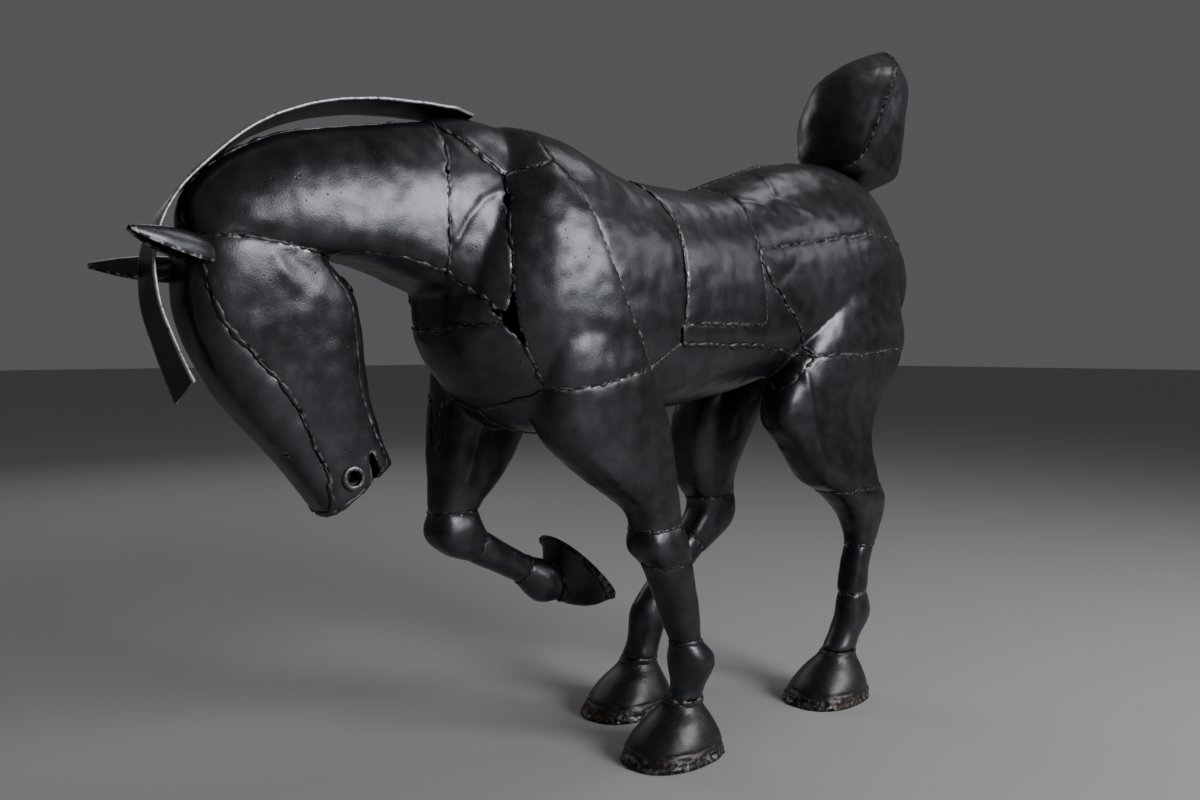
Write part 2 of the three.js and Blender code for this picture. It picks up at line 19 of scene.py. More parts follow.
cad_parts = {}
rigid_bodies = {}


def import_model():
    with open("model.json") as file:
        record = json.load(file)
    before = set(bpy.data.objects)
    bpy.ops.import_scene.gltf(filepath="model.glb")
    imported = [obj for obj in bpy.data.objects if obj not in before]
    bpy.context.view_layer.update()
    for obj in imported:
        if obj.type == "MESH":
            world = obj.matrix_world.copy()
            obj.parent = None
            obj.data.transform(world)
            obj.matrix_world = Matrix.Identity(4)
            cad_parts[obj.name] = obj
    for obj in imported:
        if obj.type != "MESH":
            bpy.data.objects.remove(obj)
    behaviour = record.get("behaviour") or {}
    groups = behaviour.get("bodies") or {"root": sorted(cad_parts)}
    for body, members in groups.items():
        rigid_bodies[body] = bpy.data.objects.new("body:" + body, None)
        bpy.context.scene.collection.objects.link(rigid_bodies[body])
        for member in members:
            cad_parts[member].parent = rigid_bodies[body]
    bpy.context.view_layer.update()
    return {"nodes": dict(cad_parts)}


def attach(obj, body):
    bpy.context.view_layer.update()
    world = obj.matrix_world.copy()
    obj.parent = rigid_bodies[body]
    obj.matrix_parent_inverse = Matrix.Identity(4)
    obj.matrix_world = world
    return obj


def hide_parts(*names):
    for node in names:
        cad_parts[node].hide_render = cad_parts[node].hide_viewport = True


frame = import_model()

log = logging.getLogger("horse")
logging.basicConfig(level=logging.INFO, format="%(name)s: %(message)s")

MM = 0.001
ORIGIN = np.array([-25.2, 14.3, 0.0]) * MM  # the frame's origin in the horse's own coordinates
BODY = "root"
SEED = 7
SEAM_FIELD = "seam"  # 1 on a plate's edge, fading to 0 inside it
SHARP_EDGE = math.radians(50)
NOWHERE = 1e9  # a distance in millimetres that no crease reaches


class Slot(Enum):
    """The record's material slots."""

    PAINT = "black_paint"
    HOOF = "hoof_steel"
    BARE = "bare_edge_steel"


# ---------------------------------------------------------------- shader arithmetic


class Value:
    """A number that changes over the surface; arithmetic on it adds Math nodes."""

    def __init__(self, tree: "ShaderTree", socket: bpy.types.NodeSocket) -> None:
        """Wrap a socket.

        Args:
            tree: the tree that the socket is in.
            socket: the output that carries the number.
        """
        self.tree = tree
        self.socket = socket

    def _math(self, operation: str, first: object, second: object) -> "Value":
        """Add one Math node.

        Args:
            operation: the node's operation.
            first: the left operand, a Value or a number.
            second: the right operand, a Value or a number.

        Returns:
            The node's output.
        """
        node = self.tree.add("ShaderNodeMath", {"operation": operation}, {0: first, 1: second})
        return Value(self.tree, node.outputs[0])

    def __add__(self, other: object) -> "Value":
        """Return the sum with other, a Value or a number."""
        return self._math("ADD", self, other)

    __radd__ = __add__

    def __sub__(self, other: object) -> "Value":
        """Return this less other, a Value or a number."""
        return self._math("SUBTRACT", self, other)

    def __rsub__(self, other: object) -> "Value":
        """Return other, a number, less this."""
        return self._math("SUBTRACT", other, self)

    def __mul__(self, other: object) -> "Value":
        """Return the product with other, a Value or a number."""
        return self._math("MULTIPLY", self, other)

    __rmul__ = __mul__

    def step(self, low: float, high: float) -> "Value":
        """Ramp smoothly from 0 at low to 1 at high.

        Args:
            low: where the ramp starts.
            high: where the ramp ends.

        Returns:
            The ramped value.
        """
        settings = {"interpolation_type": "SMOOTHSTEP", "clamp": True}
        node = self.tree.add("ShaderNodeMapRange", settings, {0: self, 1: low, 2: high})
        return Value(self.tree, node.outputs[0])


class ShaderTree:
    """One material's nodes."""

    def __init__(self, name: str) -> None:
        """Start an empty material.

        Args:
            name: the material's name.
        """
        self.material = bpy.data.materials.new(name)
        self.material.use_nodes = True
        self.nodes = self.material.node_tree.nodes
        self.links = self.material.node_tree.links
        self.nodes.clear()
        self.place = self.add("ShaderNodeTexCoord").outputs["Object"]

    def add(self, kind: str, settings: dict | None = None, inputs: dict | None = None) -> bpy.types.Node:
        """Add a node.

        Args:
            kind: the node's type.
            settings: the node's own properties, set before its inputs.
            inputs: values or links, by socket name or number.

        Returns:
            The node.
        """
        node = self.nodes.new(kind)
        for key, value in (settings or {}).items():
            setattr(node, key, value)
        for key, value in (inputs or {}).items():
            socket = node.inputs[key]
            if isinstance(value, Value):
                self.links.new(value.socket, socket)
            elif isinstance(value, bpy.types.NodeSocket):
                self.links.new(value, socket)
            else:
                socket.default_value = value
        return node

    def noise(self, scale: float, detail: float = 2.0) -> Value:
        """Cloudy noise in the piece's own space.

        Args:
            scale: features per metre.
            detail: how many finer layers are added.

        Returns:
            The noise, about 0.5.
        """
        inputs = {"Vector": self.place, "Scale": scale, "Detail": detail}
        return Value(self, self.add("ShaderNodeTexNoise", None, inputs).outputs[0])

    def cells(self, scale: float) -> Value:
        """Measure the distance to the nearest of scattered points.

        Args:
            scale: points per metre.

        Returns:
            The distance, as a part of the points' spacing.
        """
        node = self.add("ShaderNodeTexVoronoi", None, {"Vector": self.place, "Scale": scale})
        return Value(self, node.outputs["Distance"])

    def field(self, name: str) -> Value:
        """Read a number stored on the mesh's points.

        Args:
            name: the name it is stored under.

        Returns:
            The number.
        """
        node = self.add("ShaderNodeAttribute", {"attribute_name": name})
        return Value(self, node.outputs["Fac"])

    def height(self) -> Value:
        """Measure the height above the floor.

        Returns:
            The height, in metres.
        """
        node = self.add("ShaderNodeSeparateXYZ", None, {0: self.place})
        return Value(self, node.outputs["Z"])

    def mix(self, factor: Value, low: object, high: object) -> bpy.types.NodeSocket:
        """Mix two colours.

        Args:
            factor: how much of the second colour.
            low: the first colour, a tuple or a link.
            high: the second colour.

        Returns:
            The mixed colour.
        """
        node = self.add("ShaderNodeMix", {"data_type": "RGBA"}, {0: factor, 6: low, 7: high})
        return node.outputs[2]

    def bump(self, height: Value, distance: float, strength: float) -> bpy.types.NodeSocket:
        """Tilt the surface's normal by a relief.

        Args:
            height: the relief.
            distance: how high a relief of 1 stands, in metres.
            strength: how much of it shows.

        Returns:
            The normal.
        """
        inputs = {"Height": height, "Distance": distance, "Strength": strength}
        return self.add("ShaderNodeBump", None, inputs).outputs[0]

    def surface(self, inputs: dict) -> bpy.types.Material:
        """Finish the material with its one surface shader.

        Args:
            inputs: the shader's values or links, by socket name.

        Returns:
            The material.
        """
        shader = self.add("ShaderNodeBsdfPrincipled", None, inputs)
        self.add("ShaderNodeOutputMaterial", None, {"Surface": shader.outputs[0]})
        return self.material


Colour = tuple[float, float, float, float]


@dataclass(frozen=True)
class PaintedSteel:
    """Satin black paint over hammered sheet steel, rubbed bare and given painted shade at the seams.

    wear and rusting are from 0 to 1. patches is the noise range for rubbed spots, partly painted highlight.
    """

    name: str
    dark: Colour = (0.027, 0.028, 0.032, 1.0)
    light: Colour = (0.074, 0.077, 0.086, 1.0)
    # bare steel where the paint is rubbed off, also laid on the plate lips as a painted highlight
    worn_and_highlight: Colour = (0.38, 0.385, 0.395, 1.0)
    rust: Colour = (0.10, 0.052, 0.028, 1.0)
    # painted shade: near black along the seams, where the gaps between plates lie in shade
    seam_shade: Colour = (0.010, 0.010, 0.010, 1.0)
    pit: Colour = (0.012, 0.012, 0.012, 1.0)
    wear_and_painted_light: float = 0.7
    patches: tuple[float, float] = (0.46, 0.62)
    rusting: float = 0.10
    roughness: float = 0.33
    metallic: float = 0.80
    grain: float = 0.35

    def build(self) -> bpy.types.Material:
        """Make the material.

        Returns:
            The material.
        """
        tree = ShaderTree(self.name)
        seam = tree.field(SEAM_FIELD)
        # unevenness from hand-sized clouds down to the grain of the brushed paint
        clouds = tree.noise(6.0, 4.0)
        mottle = tree.noise(45.0, 4.0)
        grain = tree.noise(420.0, 3.0)
        speck = tree.noise(1500.0, 2.0)
        pits = (1.0 - tree.cells(95.0).step(0.03, 0.16)) * tree.noise(14.0).step(0.52, 0.62)
        # paint rubbed off along the plate edges, in patches, partly as a painted highlight on the lips
        chips = tree.noise(130.0, 3.0)
        rub_and_highlight = seam.step(0.45, 0.95) * chips.step(*self.patches) * self.wear_and_painted_light
        rub_and_highlight = rub_and_highlight + grain.step(0.66, 0.74) * 0.10
        # rust in the seams, more of it low on the legs, and a band at the floor
        low = 1.0 - tree.height().step(0.20, 0.46)
        rusty = seam * tree.noise(30.0, 5.0).step(0.56, 0.68) * (low * 0.5 + self.rusting)
        rusty = rusty + (1.0 - tree.height().step(0.0, 0.05)) * tree.noise(55.0, 4.0).step(0.50, 0.66) * 0.5
        # the paint, then painted seam shade, rubbed steel and painted highlight, rust and pits in turn
        base = tree.mix(clouds.step(0.35, 0.65) * 0.6 + mottle.step(0.3, 0.7) * 0.4, self.dark, self.light)
        # painted shade: the seams darkened to near black
        base = tree.mix(seam.step(0.45, 1.0) * 0.85, base, self.seam_shade)
        # rubbed bare steel along the edges, which is also a painted highlight on the lips
        base = tree.mix(rub_and_highlight, base, self.worn_and_highlight)
        base = tree.mix(rusty, base, self.rust)
        base = tree.mix(pits, base, self.pit)
        rough = clouds * 0.10 + mottle * 0.10 + grain * 0.10 + (self.roughness - 0.15)
        rough = rough + rusty * 0.35 + seam.step(0.3, 1.0) * 0.10
        relief = mottle * 0.9 + grain * 0.30 + speck * 0.12 - pits * 0.8
        return tree.surface({
            "Base Color": base,
            "Roughness": rough,
            "Metallic": self.metallic,
            "Normal": tree.bump(relief, 1.2 * MM, self.grain),
        })


PLATE_PAINT = PaintedSteel("satin_black_plate")
WELD_PAINT = PaintedSteel(
    "satin_black_weld", light=(0.060, 0.062, 0.068, 1.0), wear_and_painted_light=0.45, roughness=0.42, grain=0.7)
HOOF_PAINT = PaintedSteel(
    "satin_black_hoof", light=(0.055, 0.054, 0.054, 1.0), wear_and_painted_light=0.45, rusting=0.35, roughness=0.40,
    grain=0.6)
BARE_EDGE = PaintedSteel(
    "satin_black_bar", light=(0.040, 0.041, 0.045, 1.0), worn_and_highlight=(0.42, 0.43, 0.45, 1.0), wear_and_painted_light=0.9,
    patches=(0.22, 0.55), rusting=0.05, roughness=0.34, grain=0.3)


# ---------------------------------------------------------------- forms


@dataclass(frozen=True)
class Station:
    """One section of a form, in millimetres.

    turn is the direction of the section's top in degrees: 90 is up, 180 is forward. wide is half the
    width, top and bottom the reach from the centre. square is 2 for an ellipse and more for a box,
    and under is the same for the lower half.
    """

    x: float
    y: float
    z: float
    turn: float
    wide: float
    top: float
    bottom: float
    square: float
    under: float = 0.0

    def row(self) -> list[float]:
        """Put the numbers into one row, ready for blending.

        Returns:
            The row.
        """
        under = self.under or self.square
        return [self.x, self.y, self.z, self.turn, self.wide, self.top, self.bottom, self.square, under]


TRUNK = (
    Station(-376, 0, 676, 90, 42, 66, 52, 2),
    Station(-345, 0, 684, 90, 88, 146, 102, 2.1),
    Station(-275, 0, 690, 90, 128, 222, 170, 2.2),
    Station(-195, 0, 690, 90, 142, 222, 188, 2.3),
    Station(-100, 0, 692, 90, 142, 186, 182, 2.3),
    Station(0, 0, 690, 90, 140, 177, 168, 2.3),
    Station(100, 0, 695, 90, 140, 174, 160, 2.3),
    Station(200, 0, 715, 90, 134, 186, 165, 2.3),
    Station(300, 0, 735, 90, 134, 200, 160, 2.2),
    Station(400, 0, 745, 90, 138, 206, 150, 2.1),
    Station(480, 0, 750, 90, 140, 204, 140, 1.9, 2.3),
    Station(560, 0, 750, 90, 128, 190, 130, 1.7, 2.2),
    Station(612, 0, 745, 90, 104, 140, 112, 1.6, 2.1),
    Station(640, 0, 738, 90, 66, 88, 72, 1.8, 2),
)
NECK = (
    Station(-241, 0, 760, 88, 92, 145, 92, 2.1, 2.6),
    Station(-319, 0, 762, 92, 86, 156, 94, 2.1, 3),
    Station(-397, 0, 766, 95, 75, 138, 72, 2.1, 4),
    Station(-475, 0, 770, 98, 67, 118, 50, 2.1, 4),
    Station(-540, 0, 768, 108, 62, 104, 42, 2.1, 4),
    Station(-586, 0, 761, 130, 58, 90, 48, 2.1, 4),
    Station(-611, 0, 748, 158, 54, 82, 60, 2.1, 4),
    Station(-616, 0, 712, 180, 46, 66, 60, 3),
)
HEAD = (
    Station(-622, 0, 765, 180, 49, 52, 66, 3),
    Station(-616, 0, 722, 184, 52, 76, 84, 3.6),
    Station(-600, 0, 672, 190, 51, 92, 106, 4),
    Station(-578, 0, 622, 198, 48, 92, 98, 4),
    Station(-557, 0, 575, 204, 44, 80, 84, 4),
    Station(-534, 0, 528, 207, 39, 63, 70, 4),
    Station(-510, 0, 482, 210, 36, 54, 62, 4),
    Station(-488, 0, 447, 215, 34, 50, 58, 4),
)
LEFT_FORE = (
    Station(-190, -88, 640, 180, 50, 80, 85, 3.1),
    Station(-180, -92, 580, 180, 50, 90, 98, 3.2),
    Station(-144, -90, 500, 180, 46, 105, 105, 3.3),
    Station(-88, -87, 430, 180, 40, 68, 68, 3.3),
    Station(-46, -85, 380, 180, 30, 40, 40, 3.2),
    Station(-36, -85, 330, 180, 36, 46, 46, 3.3),
    Station(-12, -85, 290, 180, 29, 36, 36, 3.2),
    Station(16, -83, 213, 180, 24, 29, 29, 3),
    Station(28, -82, 177, 180, 23, 27, 27, 2.2),
    Station(42, -80, 143, 180, 36, 38, 38, 2),
    Station(38, -78, 103, 180, 25, 28, 28, 2),
    Station(30, -76, 85, 180, 27, 33, 31, 2),
)
LEFT_HIND = (
    Station(462, -82, 775, 180, 54, 80, 85, 3.3),
    Station(455, -85, 690, 180, 55, 120, 120, 3.3),
    Station(440, -86, 615, 180, 54, 162, 150, 3.3),
    Station(385, -86, 515, 180, 47, 156, 130, 3.3),
    Station(383, -89, 458, 180, 44, 112, 110, 3.3),
    Station(410, -95, 400, 180, 41, 84, 92, 3.2),
    Station(462, -100, 345, 180, 34, 55, 68, 3),
    Station(480, -100, 290, 180, 25, 32, 34, 3),
    Station(464, -100, 237, 180, 22, 26, 26, 3),
    Station(455, -100, 190, 180, 22, 26, 28, 3),
    Station(452, -100, 144, 180, 27, 30, 42, 2.1),
    Station(432, -98, 108, 180, 25, 30, 32, 2),
    Station(420, -96, 85, 180, 27, 36, 34, 2),
)
RIGHT_HIND = (
    Station(430, 82, 775, 180, 54, 80, 85, 3.3),
    Station(420, 85, 690, 180, 54, 120, 130, 3.3),
    Station(390, 84, 610, 180, 55, 125, 125, 3.1),
    Station(320, 92, 510, 180, 55, 100, 82, 3.2),
    Station(290, 98, 440, 180, 46, 78, 66, 3.2),
    Station(285, 102, 385, 180, 38, 58, 56, 3.1),
    Station(298, 105, 325, 158, 32, 44, 52, 3),
    Station(258, 106, 282, 134, 26, 30, 32, 3),
    Station(212, 108, 240, 132, 23, 25, 26, 3),
    Station(176, 110, 200, 138, 23, 26, 27, 2.2),
    Station(148, 112, 160, 156, 28, 36, 36, 2),
    Station(136, 114, 112, 172, 26, 30, 31, 2),
    Station(126, 115, 85, 180, 28, 34, 34, 2),
)
RIGHT_FORE = (
    Station(-235, 85, 645, 180, 50, 62, 85, 3),
    Station(-235, 92, 570, 180, 48, 66, 90, 3.1),
    Station(-240, 93, 500, 180, 44, 68, 80, 3.2),
    Station(-258, 92, 430, 180, 36, 50, 52, 3.2),
    Station(-276, 91, 392, 182, 30, 36, 38, 3.1),
    Station(-278, 90, 362, 205, 33, 40, 40, 3),
    Station(-242, 90, 335, 235, 26, 26, 26, 3),
    Station(-192, 90, 307, 240, 22, 21, 22, 3),
    Station(-150, 90, 283, 242, 24, 23, 24, 2.2),
    Station(-118, 90, 264, 258, 31, 34, 32, 2),
    Station(-90, 90, 258, 285, 27, 31, 29, 2),
)
TAIL = (
    Station(600, 0, 924, 180, 30, 30, 30, 3),
    Station(592, 0, 945, 180, 72, 76, 76, 3),
    Station(588, 0, 975, 180, 84, 92, 92, 3),
    Station(590, 0, 1020, 180, 92, 100, 98, 2.6),
    Station(596, 0, 1072, 180, 96, 104, 104, 2.2),
    Station(618, 0, 1128, 180, 92, 98, 98, 1.9),
    Station(640, 0, 1165, 180, 66, 66, 66, 1.7),
    Station(660, 0, 1190, 180, 28, 30, 26, 1.7),
    Station(664, 0, 1197, 180, 6, 6, 6, 2),
)


def through(rows: np.ndarray, steps: int) -> np.ndarray:
    """Run smoothly through rows of numbers.

    Args:
        rows: one row for each station.
        steps: how many steps each stretch between two rows takes.

    Returns:
        The finer rows.
    """
    padded = np.vstack([2 * rows[0] - rows[1], rows, 2 * rows[-1] - rows[-2]])
    fine = []
    for k in range(len(rows) - 1):
        a, b, c, d = padded[k:k + 4]
        for t in np.arange(steps) / steps:
            fine.append(0.5 * (2 * b + (c - a) * t + (2 * a - 5 * b + 4 * c - d) * t ** 2
                               + (3 * b - a - 3 * c + d) * t ** 3))
    fine.append(rows[-1])
    return np.array(fine)


def directed_edges(faces: np.ndarray) -> np.ndarray:
    """List the edges of four-cornered faces, each in its face's direction.

    Args:
        faces: the faces' corners.

    Returns:
        Pairs of points, first every face's first edge, then every second one and so on.
    """
    return np.concatenate([np.stack([faces[:, k], faces[:, (k + 1) % 4]], 1) for k in range(4)])


def neighbour_sums(pairs: np.ndarray, points: np.ndarray) -> np.ndarray:
    """Add up the places of each point's neighbours.

    Args:
        pairs: the edges that make points neighbours.
        points: the places.

    Returns:
        The sum for each point.
    """
    a, b = pairs[:, 0], pairs[:, 1]
    count = len(points)
    return np.stack([np.bincount(a, points[b, axis], count) + np.bincount(b, points[a, axis], count)
                     for axis in range(3)], 1)


@dataclass
class Mesh:
    """Points in metres and faces of four or three corners, on the way to a Blender mesh.

    A face of three corners has its last corner twice.
    """

    points: np.ndarray
    faces: np.ndarray

    @classmethod
    def joined(cls, parts: list["Mesh"]) -> "Mesh":
        """Put several meshes into one, without merging their points.

        Args:
            parts: the meshes.

        Returns:
            The one mesh.
        """
        starts = np.cumsum([0] + [len(part.points) for part in parts[:-1]])
        faces = [part.faces + start for part, start in zip(parts, starts)]
        return cls(np.vstack([part.points for part in parts]), np.vstack(faces))

    @classmethod
    def tube(cls, rings: np.ndarray, first: np.ndarray, last: np.ndarray) -> "Mesh":
        """Close a skin over a row of rings.

        Args:
            rings: the rings' points, ring by ring.
            first: the point in the middle of the first end.
            last: the point in the middle of the last end.

        Returns:
            The closed mesh.
        """
        count, around = rings.shape[:2]
        index = np.arange(count * around).reshape(count, around)
        ahead = np.roll(index, -1, axis=1)
        walls = np.stack([index[:-1], ahead[:-1], ahead[1:], index[1:]], -1).reshape(-1, 4)
        start = np.full(around, count * around)
        caps = [np.stack([ahead[0], index[0], start, start], 1),
                np.stack([index[-1], ahead[-1], start + 1, start + 1], 1)]
        return cls(np.vstack([rings.reshape(-1, 3), first, last]), np.vstack([walls, *caps])).outward()

    def outward(self) -> "Mesh":
        """Turn the faces of a closed mesh outwards.

        Returns:
            This mesh.
        """
        p = self.points[self.faces]
        first = np.einsum("ij,ij->i", p[:, 0], np.cross(p[:, 1], p[:, 2]))
        second = np.einsum("ij,ij->i", p[:, 0], np.cross(p[:, 2], p[:, 3]))
        if (first + second).sum() < 0:
            self.faces = self.faces[:, ::-1]
        return self

    def normals(self) -> np.ndarray:
        """Average the faces' directions round each point.

        Returns:
            The unit normal of each point.
        """
        p = self.points[self.faces]
        flat = np.cross(p[:, 2] - p[:, 0], p[:, 3] - p[:, 1])
        total = np.zeros_like(self.points)
        for corner in range(4):
            for axis in range(3):
                total[:, axis] += np.bincount(self.faces[:, corner], flat[:, axis], len(self.points))
        return total / np.maximum(np.linalg.norm(total, axis=1, keepdims=True), 1e-12)

    def edges(self) -> tuple[np.ndarray, np.ndarray]:
        """Find the mesh's edges and the faces on both sides of each.

        Returns:
            The edges as pairs of points, and for each edge its two faces, -1 where there is none.
        """
        pairs = directed_edges(self.faces)
        owner = np.tile(np.arange(len(self.faces)), 4)
        pairs.sort(axis=1)
        good = pairs[:, 0] != pairs[:, 1]
        pairs, owner = pairs[good], owner[good]
        key = pairs[:, 0].astype(np.int64) * len(self.points) + pairs[:, 1]
        order = np.argsort(key, kind="stable")
        key, pairs, owner = key[order], pairs[order], owner[order]
        first = np.flatnonzero(np.r_[True, key[1:] != key[:-1]])
        last = np.r_[first[1:], len(key)] - 1
        sides = np.stack([owner[first], np.where(last > first, owner[last], -1)], 1)
        return pairs[first], sides

    def object(self, name: str, seam: np.ndarray | None = None) -> bpy.types.Object:
        """Make the Blender object.

        Args:
            name: the piece's name.
            seam: each point's edge field for rubbing, rust, painted shade and highlight, if there is one.

        Returns:
            The object, linked into the scene.
        """
        mesh = bpy.data.meshes.new(name)
        faces = [tuple(dict.fromkeys(f)) for f in self.faces.tolist()]
        mesh.from_pydata(self.points.tolist(), [], faces)
        mesh.polygons.foreach_set("use_smooth", [True] * len(mesh.polygons))
        attribute = mesh.attributes.new(SEAM_FIELD, "FLOAT", "POINT")
        values = np.zeros(len(self.points)) if seam is None else seam
        attribute.data.foreach_set("value", values.astype(np.float32))
        mesh.set_sharp_from_angle(angle=SHARP_EDGE)
        mesh.update()
        piece = bpy.data.objects.new(name, mesh)
        bpy.context.scene.collection.objects.link(piece)
        return piece


@dataclass(frozen=True)
class Form:
    """A closed form through its stations."""

    stations: tuple[Station, ...]
    around: int = 56
    steps: int = 6

    def mesh(self) -> Mesh:
        """Loft the form.

        Returns:
            The closed mesh, in the frame's coordinates.
        """
        rows = through(np.array([s.row() for s in self.stations]), self.steps)
        angle = np.arange(self.around) / self.around * 2 * math.pi
        c, s = np.cos(angle), np.sin(angle)
        x, y, z, turn, wide, top, bottom, square, under = [rows[:, k:k + 1] for k in range(9)]
        power = 2 / np.where(s > 0, square, under)
        across = np.sign(c) * np.abs(c) ** power * wide
        reach = np.sign(s) * np.abs(s) ** power * np.where(s > 0, top, bottom)
        turn = np.radians(turn)
        ring = np.stack([x + reach * np.cos(turn), y + across, z + reach * np.sin(turn)], -1)
        ends = rows[[0, -1], :3] * MM - ORIGIN
        return Mesh.tube(ring * MM - ORIGIN, *ends)


def lumps(points: np.ndarray, scale: float, seed: float) -> np.ndarray:
    """Spread smooth lumps, between about -1 and 1, over a surface.

    Args:
        points: the places, in metres.
        scale: the size of one lump, in metres.
        seed: a shift that gives each piece its own pattern.

    Returns:
        The lumps' height at each place.
    """
    shift = np.array([seed, -2 * seed, 3 * seed])
    return np.array([noise.noise(Vector(p)) for p in (points / scale + shift).tolist()])


# ---------------------------------------------------------------- the plated skin


@dataclass(frozen=True)
class Crease:
    """A line over the sheet where it was beaten to a ridge or a furrow, in millimetres.

    line has x and z, rise is the height, reach how far the crease spreads, side -1 for the left and
    1 for the right of the horse, and clear how near to the middle plane the crease stops.
    """

    line: tuple[tuple[float, float], ...]
    rise: float
    reach: float = 7.0
    side: int = -1
    clear: float = 20.0

    def height(self, points: np.ndarray) -> np.ndarray:
        """Find how far the crease lifts each point.

        Args:
            points: places in the frame, in metres.

        Returns:
            The lift in metres, 0 away from the crease.
        """
        place = (points + ORIGIN) / MM
        flat = place[:, [0, 2]]
        gap = np.full(len(points), NOWHERE)
        corners = np.array(self.line, dtype=float)
        for a, b in zip(corners[:-1], corners[1:]):
            t = np.clip((flat - a) @ (b - a) / ((b - a) @ (b - a)), 0, 1)
            gap = np.minimum(gap, np.linalg.norm(flat - a - t[:, None] * (b - a), axis=1))
        gap[place[:, 1] * self.side < self.clear] = NOWHERE
        return self.rise * MM * np.exp(-(gap / self.reach) ** 1.6)


@dataclass(frozen=True)
class Hole:
    """An oval hole through the sheet, in millimetres, on the left side or on both sides.

    long and wide are half the hole's length and width, and lean turns the length up from level.
    """

    x: float
    z: float
    long: float
    wide: float
    lean: float = 0.0
    both: bool = False
    clear: float = 20.0

    def covers(self, places: np.ndarray) -> np.ndarray:
        """Find the places inside the hole.

        Args:
            places: places in the horse's own coordinates, in millimetres.

        Returns:
            True for each place inside.
        """
        dx, dz = places[:, 0] - self.x, places[:, 2] - self.z
        turn = math.radians(self.lean)
        u = dx * math.cos(turn) + dz * math.sin(turn)
        v = -dx * math.sin(turn) + dz * math.cos(turn)
        out = np.abs(places[:, 1]) if self.both else -places[:, 1]
        return ((u / self.long) ** 2 + (v / self.wide) ** 2 < 1) & (out > self.clear)


